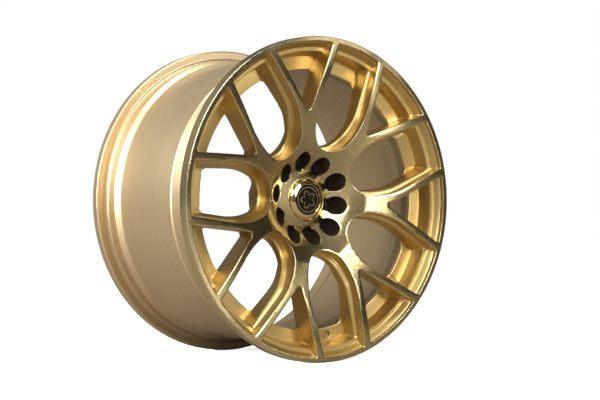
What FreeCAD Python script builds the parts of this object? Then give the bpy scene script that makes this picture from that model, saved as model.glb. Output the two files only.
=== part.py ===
import FreeCAD, Part
import math
import os
import re

import Sketcher

# Forged racing wheel, 18 x 9.5 J, seven Y-spokes, dual-drilled hub, push-in centre cap.
#
# Frame: millimetres. The wheel's axle lies along Y with the styled face towards -Y, +Z is up
# and +X is to the right of someone who looks at the face. The origin is the centre of the
# mounting face, the plane that bolts against the car's hub.
#
# Places along the axle are written as a depth behind the front lip plane, because a wheel is
# drawn from its lip, and become y = depth - mount_depth. Radii are measured from the axle.

# ---------------------------------------------------------------------------------------
# Driving dimensions: name, value in millimetres or degrees, meaning.
# ---------------------------------------------------------------------------------------
DIMENSIONS = [
    # rim contour
    ("bead_seat_radius", 231.0, "radius at the foot of both flanges, 18 inch rim"),
    ("flange_height", 17.3, "flange above the bead seat"),
    ("rim_width", 241.3, "between the inside faces of the flanges, 9.5 inch"),
    ("front_flange", 21.0, "front flange from lip plane to its tyre-side face"),
    ("rear_flange", 15.1, "rear flange from its tyre-side face to the rear edge"),
    ("wheel_offset", 38.0, "mounting face ahead of the rim's middle plane"),
    ("flange_edge", 1.0, "bevel of the flanges' outer corners"),
    ("flange_foot", 6.5, "fillet between flange and bead seat"),
    ("seat_drop", 1.2, "fall of the tapered bead seat towards the well"),
    ("front_seat_length", 9.0, "length of the front bead seat"),
    ("rear_seat_length", 11.8, "length of the rear bead seat"),
    ("hump_rise", 1.0, "safety hump above the bead seat radius"),
    ("hump_length", 3.5, "axial length of one side of a hump"),
    ("well_radius", 207.0, "tyre side of the drop-centre well"),
    ("well_wall", 6.0, "wall thickness of the well"),
    ("well_front_slope", 5.0, "axial run of the well's front wall"),
    ("well_length", 17.0, "flat length of the well's bottom"),
    ("well_rear_slope", 12.0, "axial run of the well's rear wall"),
    ("barrel_front_radius", 222.0, "tyre side of the barrel just behind the well"),
    ("barrel_rear_radius", 226.0, "tyre side of the barrel at its rear end"),
    ("barrel_wall", 3.8, "wall thickness of the barrel"),
    ("rear_rise_length", 11.0, "axial run from the barrel up to the rear hump"),
    ("rear_flare", 15.0, "radius of the flare behind the rear bead seat"),
    ("seam_depth", 60.0, "plane where the face and the barrel are welded, in the well"),
    ("weld_half_width", 3.5, "half the width of the weld groove at the tyre side"),
    ("weld_root", 2.0, "unprepared land below the weld groove"),
    ("weld_crown", 1.3, "weld bead above the well's bottom"),
    # stepped inside of the front lip
    ("lip_inner_radius", 240.9, "inner edge of the machined lip"),
    ("lip_draft", 0.5, "draft of the wall behind the lip"),
    ("first_step_depth", 7.0, "depth of the thin first step"),
    ("first_step_width", 1.2, "radial width of the first step"),
    ("second_step_depth", 16.5, "depth of the wide second step"),
    ("second_step_outer", 233.4, "outer radius of the second step"),
    ("second_step_inner", 227.2, "inner radius of the second step"),
    ("land_depth", 39.0, "front face of the lands between the spokes"),
    ("land_outer", 221.5, "outer radius of the lands"),
    ("corner_radius_depth", 43.0, "depth where the rim's inner wall turns in beside the lands"),
    ("corner_radius", 209.0, "radius of the rim's inner wall there"),
    ("step_corner", 4.5, "corner radius of the windows at the rim's steps"),
    ("web_depth", 41.5, "floor beside the lands, top of the webs in the windows' rear corners"),
    ("large_land_half_angle", 9.0, "half the angle of a land in a large window"),
    ("small_land_half_angle", 10.4, "half the angle of a land in a small window"),
    ("land_length", 6.0, "axial length of a land"),
    # machined face of the spokes and hub
    ("crease_radius", 97.0, "crease between the spoke face and the hub cone"),
    ("crease_depth", 21.0, "depth of the crease"),
    ("spoke_bow_radius", 560.0, "hollow of the spoke face between crease and lip"),
    ("cone_bow_radius", 190.0, "hollow of the hub cone"),
    ("valley_radius", 46.5, "valley round the foot of the cap boss"),
    ("valley_depth", 56.0, "depth of that valley"),
    ("boss_radius", 34.2, "top edge of the cap boss"),
    ("boss_depth", 48.5, "depth of the boss's top"),
    # body of the spokes
    ("ledge_drop", 25.0, "from the machined face down to the shoulder inside a large window"),
    ("ledge_mid_radius", 150.0, "radius where the shoulder levels out"),
    ("ledge_mid_depth", 24.0, "depth of the shoulder there"),
    ("ledge_rim_depth", 17.0, "depth of the shoulder at the rim"),
    ("spoke_back_depth", 43.5, "depth of the back of the spokes"),
    ("back_knee_radius", 112.0, "radius where the back of the spokes turns towards the hub"),
    ("back_knee_depth", 50.0, "depth there"),
    ("hub_foot_radius", 88.0, "radius half way down the back of the hub"),
    ("hub_foot_depth", 68.0, "depth there"),
    ("pad_radius", 70.0, "outer radius of the mounting face"),
    # windows
    ("spoke_phase", 99.19, "angle of the first spoke, from +X towards +Z"),
    ("large_end_centre", 116.7, "centre of a large window's round inner end"),
    ("large_end_radius", 37.7, "radius of that round end"),
    ("large_blend_radius", 124.0, "bow between the round end and the straight side"),
    ("large_side_angle", 3.8, "lean of a large window's sides to its middle line"),
    ("large_side_offset", 56.1, "distance of those sides from the axle"),
    ("shoulder_width", 10.5, "width of the shoulder inside a large window"),
    ("large_corner", 12.0, "corner radius of a large window's rear opening"),
    ("small_apex_radius", 6.0, "rounding of a small window's point"),
    ("small_side_angle", 28.06, "lean of a small window's sides to its middle line"),
    ("small_side_offset", 61.4, "distance of those sides from the axle"),
    ("small_corner", 5.0, "corner radius of a small window's rear opening"),
    # hub: bores and lug holes
    ("hub_bore_radius", 36.55, "spigot bore, 73.1 across"),
    ("cap_bore_radius", 28.5, "bore that holds the centre cap"),
    ("cap_mouth_radius", 32.7, "recess for the cap's rim"),
    ("cap_seat_depth", 53.0, "floor of that recess"),
    ("cap_bore_end", 66.0, "depth where the cap bore opens into the spigot bore"),
    ("wide_pitch_radius", 60.0, "lug circle, 120 across"),
    ("narrow_pitch_radius", 57.15, "lug circle, 114.3 across"),
    ("lug_phase", 99.19, "angle of the first lug hole of the wide circle"),
    ("lug_socket_radius", 14.25, "counterbore for nut and socket"),
    ("lug_seat_depth", 88.0, "floor of the counterbores"),
    ("seat_body_radius", 11.5, "pressed shank of a lug seat"),
    ("seat_flange_radius", 13.6, "flange of a lug seat"),
    ("seat_flange_height", 3.0, "thickness of that flange"),
    ("seat_cone_radius", 12.4, "mouth of the nut's 60 degree cone"),
    ("stud_bore_radius", 7.75, "bore for the wheel stud"),
    ("seat_recess", 0.4, "seat's back face below the mounting face"),
    # valve hole
    ("valve_radius", 5.65, "valve hole, 11.3 across"),
    ("valve_pitch_radius", 212.0, "distance of the valve hole from the axle"),
    ("valve_wall", 5.0, "wall that the valve seals on"),
    ("valve_spot_radius", 8.0, "spot face round the valve hole on the tyre side"),
    # centre cap
    ("cap_clearance", 0.4, "radial gap between the cap's rim and the boss"),
    ("cap_finger_clearance", 0.25, "radial gap between the cap's fingers and their bore"),
    ("cap_front_depth", 44.0, "front face of the emblem disc"),
    ("emblem_radius", 23.0, "emblem disc"),
    ("emblem_thickness", 1.8, "emblem disc at its edge"),
    ("emblem_crown", 0.6, "dome of the emblem disc"),
    ("bezel_thickness", 1.6, "wall of the polished bezel"),
    ("bezel_edge_depth", 49.4, "front edge of the bezel's outer rim"),
    ("bezel_gap", 0.15, "gap between emblem disc and bezel"),
    ("shell_plate", 2.4, "front plate of the cap shell"),
    ("finger_wall", 1.8, "thickness of the snap fingers"),
    ("finger_length", 12.0, "reach of the fingers behind the plate"),
    ("finger_crown", 0.6, "swell at the fingers' ends"),
    ("finger_gap", 5.0, "slot between two fingers"),
    ("ring_wire_radius", 0.8, "wire of the retaining ring"),
    ("ring_back_gap", 2.4, "retaining ring in from the fingers' ends"),
]

SPOKES = 7
LUGS_PER_CIRCLE = 5
FINGERS = 8
VALVE_WINDOW = 3

VALUE = {name: value for name, value, meaning in DIMENSIONS}

doc = FreeCAD.newDocument("ForgedWheel")
sheet = doc.addObject("Spreadsheet::Sheet", "Dim")
for row, (name, value, meaning) in enumerate(DIMENSIONS, start=1):
    sheet.set(f"A{row}", str(value))
    sheet.set(f"B{row}", meaning)
    sheet.setAlias(f"A{row}", name)
doc.recompute()

# Derived places, as expressions in the sheet's names. Each is used by several pieces.
LIP_RADIUS = "(bead_seat_radius + flange_height)"
TOTAL_WIDTH = "(front_flange + rim_width + rear_flange)"
MOUNT_DEPTH = "(front_flange + rim_width / 2 - wheel_offset)"
REAR_FACE = "(front_flange + rim_width)"
WELL_INNER = "(well_radius - well_wall)"
FRONT_SEAT_END = "(front_flange + flange_foot + front_seat_length)"
FRONT_HUMP_END = f"({FRONT_SEAT_END} + 2 * hump_length)"
WELL_START = f"({FRONT_HUMP_END} + well_front_slope)"
WELL_END = f"({WELL_START} + well_length)"
BARREL_START = f"({WELL_END} + well_rear_slope)"
REAR_SEAT_START = f"({REAR_FACE} - flange_foot - rear_seat_length)"
REAR_HUMP_TOP = f"({REAR_SEAT_START} - hump_length)"
BARREL_END = f"({REAR_HUMP_TOP} - rear_rise_length)"
BEZEL_RADIUS = "(cap_mouth_radius - cap_clearance)"
SHELL_BACK = "(cap_seat_depth + finger_length)"
FINGER_RADIUS = "(cap_bore_radius - cap_finger_clearance)"

ALIAS = re.compile(r"[a-z][a-z_]*[a-z]")


def bound(expression):
    """The same expression as the features write it, with every name taken from the sheet."""
    return ALIAS.sub(lambda word: "Dim." + word.group() if word.group() in VALUE else word.group(),
                     expression)


def measure(expression):
    """Present value of an expression in the sheet's names."""
    return float(sheet.evalExpression(expression))


def sine(degrees):
    return math.sin(math.radians(degrees))


def cosine(degrees):
    return math.cos(math.radians(degrees))


# ---------------------------------------------------------------------------------------
# Helpers: bodies, sketches and features
# ---------------------------------------------------------------------------------------
def new_body(label):
    body = doc.addObject("PartDesign::Body", label)
    body.Label = label
    return body


def origin_item(body, role):
    """A plane or an axis of the body's own origin."""
    return next(item for item in body.Origin.OriginFeatures if item.Role == role)


def new_sketch(body, name, plane, lift="0", turn="0"):
    """Sketch on one of the body's origin planes, lifted along its normal and turned about it."""
    sketch = body.newObject("Sketcher::SketchObject", name)
    sketch.AttachmentSupport = [(origin_item(body, plane), "")]
    sketch.MapMode = "FlatFace"
    sketch.AttachmentOffset = FreeCAD.Placement(
        FreeCAD.Vector(0, 0, measure(lift)), FreeCAD.Rotation(FreeCAD.Vector(0, 0, 1), measure(turn)))
    sketch.setExpression("AttachmentOffset.Base.z", bound(lift))
    if turn != "0":
        sketch.setExpression("AttachmentOffset.Rotation.Angle", bound(turn))
    return sketch


def front_sketch(body, name, depth, turn="0"):
    """Sketch that faces forward, at a depth behind the lip plane."""
    return new_sketch(body, name, "XZ_Plane", lift=f"{MOUNT_DEPTH} - ({depth})", turn=turn)


def dimension(sketch, kind, *place, size):
    """Add a dimension to a sketch and tie it to the sheet."""
    now = math.radians(measure(size)) if kind == "Angle" else measure(size)
    index = sketch.addConstraint(Sketcher.Constraint(kind, *place, now))
    sketch.setExpression(f"Constraints[{index}]", bound(size))


def arc_between(start, end, bow):
    """Arc of radius |bow| from start to end; positive bows lie left of the way from start to end."""
    middle = (start + end) * 0.5
    way = end - start
    reach = math.sqrt(bow * bow - way.Length ** 2 / 4)
    left = FreeCAD.Vector(-way.y, way.x, 0).normalize()
    centre = middle - left * math.copysign(reach, bow)
    first, last = (end, start) if bow > 0 else (start, end)
    angles = [math.atan2(point.y - centre.y, point.x - centre.x) for point in (first, last)]
    return Part.ArcOfCircle(Part.Circle(centre, FreeCAD.Vector(0, 0, 1), abs(bow)), *angles)


def section(body, name, corners, shift=MOUNT_DEPTH):
    """Closed half section in (depth, radius). A third item is the bow of the edge to the next corner."""
    sketch = new_sketch(body, name, "YZ_Plane")
    places = [(f"{corner[0]} - {shift}", str(corner[1])) for corner in corners]
    points = [FreeCAD.Vector(measure(across), measure(up), 0) for across, up in places]
    starts, ends = [], []
    for number, corner in enumerate(corners):
        start, end = points[number], points[(number + 1) % len(points)]
        if len(corner) == 3:
            bow = measure(corner[2])
            edge = sketch.addGeometry(arc_between(start, end, bow), False)
            starts.append((edge, 2 if bow > 0 else 1))
            ends.append((edge, 1 if bow > 0 else 2))
        else:
            edge = sketch.addGeometry(Part.LineSegment(start, end), False)
            starts.append((edge, 1))
            ends.append((edge, 2))
    for number, corner in enumerate(corners):
        sketch.addConstraint(Sketcher.Constraint("Coincident", *ends[number - 1], *starts[number]))
        across, up = places[number]
        dimension(sketch, "DistanceX", -1, 1, *starts[number], size=across)
        dimension(sketch, "DistanceY", -1, 1, *starts[number], size=up)
        if len(corner) == 3:
            size = corner[2].lstrip("-")
            dimension(sketch, "Radius", starts[number][0], size=size)
    return sketch


def revolve(body, name, corners):
    """Solid of revolution about the axle from a half section."""
    sketch = section(body, name + "_section", corners)
    feature = body.newObject("PartDesign::Revolution", name)
    feature.Profile = sketch
    feature.ReferenceAxis = (sketch, ["H_Axis"])
    feature.Angle = 360
    doc.recompute()
    return feature


def cut(body, name, sketch, length):
    """Pocket from the sketch rearwards; stops the build if it removes nothing."""
    before = body.Shape.Volume
    feature = body.newObject("PartDesign::Pocket", name)
    feature.Profile = sketch
    feature.setExpression("Length", bound(length))
    doc.recompute()
    if not body.Shape.Volume < before:
        raise RuntimeError(name + " removes nothing")
    return feature


def raise_pad(body, name, sketch, length):
    """Pad from the sketch rearwards."""
    feature = body.newObject("PartDesign::Pad", name)
    feature.Profile = sketch
    feature.Reversed = True
    feature.setExpression("Length", bound(length))
    doc.recompute()
    return feature


def repeat(body, feature, count):
    """Repeat a feature evenly round the axle."""
    pattern = body.newObject("PartDesign::PolarPattern", feature.Name + "_ring")
    pattern.Originals = [feature]
    pattern.Axis = (origin_item(body, "Y_Axis"), [""])
    pattern.Angle = 360
    pattern.Occurrences = count
    body.Tip = pattern
    doc.recompute()
    return pattern


def along(lean, offset, run):
    """Point on a window's upper side: offset from the axle, run along the side."""
    return FreeCAD.Vector(-sine(lean) * offset + cosine(lean) * run,
                          cosine(lean) * offset + sine(lean) * run, 0)


def mirrored(point):
    return FreeCAD.Vector(point.x, -point.y, 0)


def arc_through(centre, radius, start, end):
    """Counter-clockwise arc about a centre from start to end."""
    angles = [math.atan2(point.y - centre.y, point.x - centre.x) for point in (start, end)]
    return Part.ArcOfCircle(Part.Circle(centre, FreeCAD.Vector(0, 0, 1), radius), *angles)


def window(body, name, turn, start_depth, lean, offset, reach, tip, centre=None, blend=None, corner=None):
    """Outline of a window about its own middle line: a round tip, two straight sides and an arc
    about the axle. Blend is the bow between tip and side, corner rounds the outer ends."""
    sketch = front_sketch(body, name, start_depth, turn=turn)
    lean_now, offset_now = measure(lean), measure(offset)
    reach_now, tip_now = measure(reach), measure(tip)
    axle = FreeCAD.Vector(0, 0, 0)
    if corner:
        corner_now = measure(corner)
        inset = offset_now - corner_now
        run = math.sqrt((reach_now - corner_now) ** 2 - inset ** 2)
        corner_centre = along(lean_now, inset, run)
        side_end = along(lean_now, offset_now, run)
        arc_end = corner_centre * (reach_now / (reach_now - corner_now))
    else:
        side_end = along(lean_now, offset_now, math.sqrt(reach_now ** 2 - offset_now ** 2))
        arc_end = side_end
    if blend:
        blend_now = measure(blend)
        tip_centre = FreeCAD.Vector(measure(centre), 0, 0)
        across = tip_centre.x * -sine(lean_now)
        run = tip_centre.x * cosine(lean_now) + math.sqrt(
            (blend_now - tip_now) ** 2 - (offset_now - blend_now - across) ** 2)
        blend_centre = along(lean_now, offset_now - blend_now, run)
        side_start = along(lean_now, offset_now, run)
        tip_end = tip_centre + (tip_centre - blend_centre).normalize() * tip_now
    else:
        tip_centre = FreeCAD.Vector(-(offset_now - tip_now) / sine(lean_now), 0, 0)
        side_start = tip_centre + FreeCAD.Vector(-sine(lean_now), cosine(lean_now), 0) * tip_now
        tip_end = side_start

    outer = sketch.addGeometry(arc_through(axle, reach_now, mirrored(arc_end), arc_end), False)
    chain = [(outer, 1, 2)]
    corners = []
    if corner:
        corners.append(sketch.addGeometry(
            arc_through(corner_centre, corner_now, arc_end, side_end), False))
        chain.append((corners[0], 1, 2))
    upper = sketch.addGeometry(Part.LineSegment(side_start, side_end), False)
    chain.append((upper, 2, 1))
    blends = []
    if blend:
        blends.append(sketch.addGeometry(
            arc_through(blend_centre, blend_now, side_start, tip_end), False))
        chain.append((blends[0], 1, 2))
    tip_arc = sketch.addGeometry(arc_through(tip_centre, tip_now, tip_end, mirrored(tip_end)), False)
    chain.append((tip_arc, 1, 2))
    if blend:
        blends.append(sketch.addGeometry(
            arc_through(mirrored(blend_centre), blend_now, mirrored(tip_end), mirrored(side_start)), False))
        chain.append((blends[1], 1, 2))
    lower = sketch.addGeometry(Part.LineSegment(mirrored(side_start), mirrored(side_end)), False)
    chain.append((lower, 1, 2))
    if corner:
        corners.append(sketch.addGeometry(
            arc_through(mirrored(corner_centre), corner_now, mirrored(side_end), mirrored(arc_end)), False))
        chain.append((corners[1], 1, 2))

    for number, (edge, enter, leave) in enumerate(chain):
        last, last_enter, last_leave = chain[number - 1]
        sharp = not corner and outer in (edge, last)
        kind = "Coincident" if sharp else "Tangent"
        sketch.addConstraint(Sketcher.Constraint(kind, last, last_leave, edge, enter))
    sketch.addConstraint(Sketcher.Constraint("Coincident", outer, 3, -1, 1))
    dimension(sketch, "Radius", outer, size=reach)
    dimension(sketch, "Radius", tip_arc, size=tip)
    dimension(sketch, "Angle", upper, size=lean)
    dimension(sketch, "Angle", lower, size=f"-({lean})")
    side_distance = offset if offset_now > 0 else f"-({offset})"
    dimension(sketch, "Distance", -1, 1, upper, size=side_distance)
    dimension(sketch, "Distance", -1, 1, lower, size=side_distance)
    if blend:
        dimension(sketch, "DistanceX", -1, 1, tip_arc, 3, size=centre)
        sketch.addConstraint(Sketcher.Constraint("PointOnObject", tip_arc, 3, -1))
        dimension(sketch, "Radius", blends[0], size=blend)
        sketch.addConstraint(Sketcher.Constraint("Equal", *blends))
    if corner:
        dimension(sketch, "Radius", corners[0], size=corner)
        sketch.addConstraint(Sketcher.Constraint("Equal", *corners))
    return sketch


def round_hole(body, name, turn, depth, pitch, radius):
    """Circle at a distance from the axle, in a forward-facing sketch."""
    sketch = front_sketch(body, name, depth, turn=turn)
    circle = sketch.addGeometry(
        Part.Circle(FreeCAD.Vector(measure(pitch), 0, 0), FreeCAD.Vector(0, 0, 1), measure(radius)), False)
    sketch.addConstraint(Sketcher.Constraint("PointOnObject", circle, 3, -1))
    dimension(sketch, "DistanceX", -1, 1, circle, 3, size=pitch)
    dimension(sketch, "Radius", circle, size=radius)
    return sketch


def land(body, name, turn, half_angle):
    """Outline of a land: a stretch of ring about the sketch's X axis."""
    sketch = front_sketch(body, name, "land_depth", turn=turn)
    inner, outer = measure(WELL_INNER), measure("land_outer + 0.5")
    half = measure(half_angle)
    axle = FreeCAD.Vector(0, 0, 0)
    place = {(radius, side): FreeCAD.Vector(radius * cosine(half), side * radius * sine(half), 0)
             for radius in (inner, outer) for side in (-1, 1)}
    inside = sketch.addGeometry(arc_through(axle, inner, place[inner, -1], place[inner, 1]), False)
    outside = sketch.addGeometry(arc_through(axle, outer, place[outer, -1], place[outer, 1]), False)
    upper = sketch.addGeometry(Part.LineSegment(place[inner, 1], place[outer, 1]), False)
    lower = sketch.addGeometry(Part.LineSegment(place[inner, -1], place[outer, -1]), False)
    for first, first_end, second, second_end in (
            (inside, 2, upper, 1), (upper, 2, outside, 2), (outside, 1, lower, 2), (lower, 1, inside, 1)):
        sketch.addConstraint(Sketcher.Constraint("Coincident", first, first_end, second, second_end))
    for arc, size in ((inside, WELL_INNER), (outside, "land_outer + 0.5")):
        sketch.addConstraint(Sketcher.Constraint("Coincident", arc, 3, -1, 1))
        dimension(sketch, "Radius", arc, size=size)
    dimension(sketch, "Angle", upper, size=half_angle)
    dimension(sketch, "Angle", lower, size=f"-({half_angle})")
    return sketch


# ---------------------------------------------------------------------------------------
# Forged face: hub, seven Y-spokes, stepped lip, front flange, front half of the well
# ---------------------------------------------------------------------------------------
FRONT_STOCK = "-5"
LARGE_TURN = f"spoke_phase + {180 / SPOKES}"


def make_face():
    body = new_body("forged_face")

    # Front layer: machined face down to the shoulders inside the large windows.
    revolve(body, "front_layer", [
        ("cap_seat_depth", "cap_bore_radius"),
        ("cap_seat_depth", "cap_mouth_radius"),
        ("boss_depth", "cap_mouth_radius"),
        ("boss_depth", "boss_radius"),
        ("valley_depth", "valley_radius", "cone_bow_radius"),
        ("crease_depth", "crease_radius", "spoke_bow_radius"),
        ("0", "lip_inner_radius"),
        ("0", "lip_inner_radius + 2"),
        ("second_step_depth", "lip_inner_radius + 2"),
        ("front_flange - 1", "bead_seat_radius + 6"),
        ("ledge_rim_depth + 1", "second_step_inner + 1"),
        ("ledge_mid_depth + 1", "ledge_mid_radius"),
        ("crease_depth + ledge_drop + 1", "crease_radius"),
        ("cap_bore_end", "pad_radius"),
        ("cap_bore_end", "cap_bore_radius"),
    ])
    large = window(body, "large_window", LARGE_TURN, FRONT_STOCK,
                   lean="-large_side_angle", offset="large_side_offset", reach="lip_inner_radius + 3",
                   tip="large_end_radius", centre="large_end_centre", blend="large_blend_radius")
    repeat(body, cut(body, "large_cut", large, "cap_bore_end + 10"), SPOKES)
    small = window(body, "small_window", "spoke_phase", FRONT_STOCK,
                   lean="small_side_angle", offset="-small_side_offset", reach="lip_inner_radius + 3",
                   tip="small_apex_radius")
    repeat(body, cut(body, "small_cut", small, "cap_bore_end + 10"), SPOKES)

    # Rear layer: shoulders, backs of the spokes, hub.
    revolve(body, "rear_layer", [
        ("cap_bore_end - 1", "hub_bore_radius"),
        ("cap_bore_end - 1", "pad_radius"),
        ("crease_depth + ledge_drop", "crease_radius"),
        ("ledge_mid_depth", "ledge_mid_radius"),
        ("ledge_rim_depth", "second_step_inner + 1"),
        ("land_depth", "land_outer + 2"),
        ("spoke_back_depth", "land_outer - 3"),
        ("spoke_back_depth", "large_end_centre + 23"),
        ("back_knee_depth", "back_knee_radius"),
        ("hub_foot_depth", "hub_foot_radius"),
        (f"{MOUNT_DEPTH} - 12", "pad_radius + 3"),
        (MOUNT_DEPTH, "pad_radius"),
        (MOUNT_DEPTH, "hub_bore_radius"),
    ])
    for name, reach, large_corner, small_corner, length in (
            ("opening", "second_step_inner + 2", "step_corner", "step_corner", "web_depth + 5"),
            ("through", WELL_INNER, "large_corner", "small_corner", f"{MOUNT_DEPTH} - 10")):
        large = window(body, "large_" + name, LARGE_TURN, FRONT_STOCK,
                       lean="-large_side_angle", offset="large_side_offset - shoulder_width", reach=reach,
                       tip="large_end_radius - shoulder_width", centre="large_end_centre",
                       blend="large_blend_radius - shoulder_width", corner=large_corner)
        repeat(body, cut(body, f"large_{name}_cut", large, length), SPOKES)
        small = window(body, "small_" + name, "spoke_phase", FRONT_STOCK,
                       lean="small_side_angle", offset="-small_side_offset", reach=reach,
                       tip="small_apex_radius", corner=small_corner)
        repeat(body, cut(body, f"small_{name}_cut", small, length), SPOKES)

    # Rim ring: lip, inner steps, front flange, bead seat, hump and the front half of the well.
    revolve(body, "rim_ring", [
        ("0", "lip_inner_radius"),
        ("first_step_depth", "lip_inner_radius - lip_draft"),
        ("first_step_depth", "lip_inner_radius - lip_draft - first_step_width"),
        ("second_step_depth", "second_step_outer"),
        ("second_step_depth", "second_step_inner"),
        ("land_depth", "land_outer"),
        ("corner_radius_depth", "corner_radius"),
        ("corner_radius_depth + 1", WELL_INNER),
        ("seam_depth", WELL_INNER),
        ("seam_depth", f"{WELL_INNER} + weld_root"),
        ("seam_depth - weld_half_width", "well_radius"),
        (WELL_START, "well_radius"),
        (FRONT_HUMP_END, "bead_seat_radius - seat_drop"),
        (f"{FRONT_SEAT_END} + hump_length", "bead_seat_radius + hump_rise"),
        (FRONT_SEAT_END, "bead_seat_radius - seat_drop"),
        ("front_flange + flange_foot", "bead_seat_radius", "-flange_foot"),
        ("front_flange", "bead_seat_radius + flange_foot"),
        ("front_flange", f"{LIP_RADIUS} - 3 * flange_edge"),
        ("front_flange - 3 * flange_edge", LIP_RADIUS),
        ("flange_edge", LIP_RADIUS),
        ("0", f"{LIP_RADIUS} - flange_edge"),
    ])

    # Lands between the spokes.
    for name, turn, half_angle in (("large_land", LARGE_TURN, "large_land_half_angle"),
                                   ("small_land", "spoke_phase", "small_land_half_angle")):
        outline = land(body, name + "_outline", turn, half_angle)
        repeat(body, raise_pad(body, name, outline, "land_length"), SPOKES)

    # Lug holes: a socket counterbore from the front, then the bore of the pressed seat.
    for name, turn, pitch in (("wide", "lug_phase", "wide_pitch_radius"),
                              ("narrow", f"lug_phase - {180 / LUGS_PER_CIRCLE}", "narrow_pitch_radius")):
        socket = round_hole(body, name + "_socket", turn, FRONT_STOCK, pitch, "lug_socket_radius")
        repeat(body, cut(body, name + "_socket_cut", socket, "lug_seat_depth + 5"), LUGS_PER_CIRCLE)
        shank = round_hole(body, name + "_shank", turn, FRONT_STOCK, pitch, "seat_body_radius")
        repeat(body, cut(body, name + "_shank_cut", shank, f"{MOUNT_DEPTH} + 10"), LUGS_PER_CIRCLE)

    # Valve hole in one large window's land, spot-faced on the tyre side.
    valve_turn = f"{LARGE_TURN} + {360 * VALVE_WINDOW / SPOKES}"
    stem = round_hole(body, "valve", valve_turn, "land_depth - 5", "valve_pitch_radius", "valve_radius")
    cut(body, "valve_cut", stem, f"{WELL_START} - land_depth + 5")
    spot = round_hole(body, "valve_spot", valve_turn, "land_depth + valve_wall", "valve_pitch_radius",
                      "valve_spot_radius")
    cut(body, "valve_spot_cut", spot, f"{WELL_START} - land_depth - valve_wall")
    return body


# ---------------------------------------------------------------------------------------
# Spun barrel: rear half of the well, barrel, rear hump, bead seat and flange
# ---------------------------------------------------------------------------------------
def make_barrel():
    body = new_body("spun_barrel")
    revolve(body, "barrel", [
        ("seam_depth", WELL_INNER),
        ("seam_depth", f"{WELL_INNER} + weld_root"),
        ("seam_depth + weld_half_width", "well_radius"),
        (WELL_END, "well_radius"),
        (BARREL_START, "barrel_front_radius"),
        (BARREL_END, "barrel_rear_radius"),
        (REAR_HUMP_TOP, "bead_seat_radius + hump_rise"),
        (REAR_SEAT_START, "bead_seat_radius - seat_drop"),
        (f"{REAR_FACE} - flange_foot", "bead_seat_radius", "-flange_foot"),
        (REAR_FACE, "bead_seat_radius + flange_foot"),
        (REAR_FACE, f"{LIP_RADIUS} - 3 * flange_edge"),
        (f"{REAR_FACE} + 3 * flange_edge", LIP_RADIUS),
        (f"{TOTAL_WIDTH} - flange_edge", LIP_RADIUS),
        (TOTAL_WIDTH, f"{LIP_RADIUS} - flange_edge"),
        (TOTAL_WIDTH, "bead_seat_radius - barrel_wall + rear_flare", "-rear_flare"),
        (f"{TOTAL_WIDTH} - rear_flare", "bead_seat_radius - barrel_wall"),
        (REAR_HUMP_TOP, "bead_seat_radius - barrel_wall"),
        (BARREL_END, "barrel_rear_radius - barrel_wall"),
        (f"{BARREL_START} + barrel_wall", "barrel_front_radius - barrel_wall"),
        (f"{WELL_END} + barrel_wall", WELL_INNER),
    ])
    return body


def make_weld():
    body = new_body("well_weld")
    revolve(body, "bead", [
        ("seam_depth", f"{WELL_INNER} + weld_root"),
        ("seam_depth - weld_half_width", "well_radius"),
        ("seam_depth - weld_half_width / 2", "well_radius + weld_crown * 0.8"),
        ("seam_depth", "well_radius + weld_crown"),
        ("seam_depth + weld_half_width / 2", "well_radius + weld_crown * 0.8"),
        ("seam_depth + weld_half_width", "well_radius"),
    ])
    return body


# ---------------------------------------------------------------------------------------
# Lug seats: hardened inserts pressed into the hub, five on each lug circle
# ---------------------------------------------------------------------------------------
def make_lug_seats(label, pitch, turn):
    """Five separate seats. The first is drawn straight above the axle, the body is then turned."""
    body = new_body(label)
    body.AllowCompound = True
    seat_top = "lug_seat_depth - seat_flange_height"
    cone_depth = "(seat_cone_radius - stud_bore_radius) / tan(30)"
    sketch = section(body, "seat_section", [
        (seat_top, "seat_cone_radius"),
        (seat_top, "seat_flange_radius"),
        ("lug_seat_depth", "seat_flange_radius"),
        ("lug_seat_depth", "seat_body_radius"),
        (f"{MOUNT_DEPTH} - seat_recess", "seat_body_radius"),
        (f"{MOUNT_DEPTH} - seat_recess", "stud_bore_radius"),
        (f"{seat_top} + {cone_depth}", "stud_bore_radius"),
    ])
    sketch.AttachmentOffset = FreeCAD.Placement(FreeCAD.Vector(0, measure(pitch), 0), FreeCAD.Rotation())
    sketch.setExpression("AttachmentOffset.Base.y", bound(pitch))
    feature = body.newObject("PartDesign::Revolution", "seat")
    feature.Profile = sketch
    feature.ReferenceAxis = (sketch, ["H_Axis"])
    feature.Angle = 360
    doc.recompute()
    repeat(body, feature, LUGS_PER_CIRCLE)
    body.Placement = FreeCAD.Placement(
        FreeCAD.Vector(0, 0, 0), FreeCAD.Rotation(FreeCAD.Vector(0, -1, 0), measure(f"{turn} - 90")))
    body.setExpression("Placement.Rotation.Angle", bound(f"{turn} - 90"))
    doc.recompute()
    return body


# ---------------------------------------------------------------------------------------
# Centre cap: shell with snap fingers, retaining ring, polished bezel, emblem disc
# ---------------------------------------------------------------------------------------
PLATE_FRONT = "(cap_seat_depth - shell_plate)"
EMBLEM_BACK = "(cap_front_depth + emblem_thickness)"
PLATE_RADIUS = f"({BEZEL_RADIUS} - bezel_thickness - bezel_gap)"
PEDESTAL_RADIUS = "(emblem_radius - bezel_gap)"
FINGER_INNER = f"({FINGER_RADIUS} - finger_crown - finger_wall)"


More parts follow.
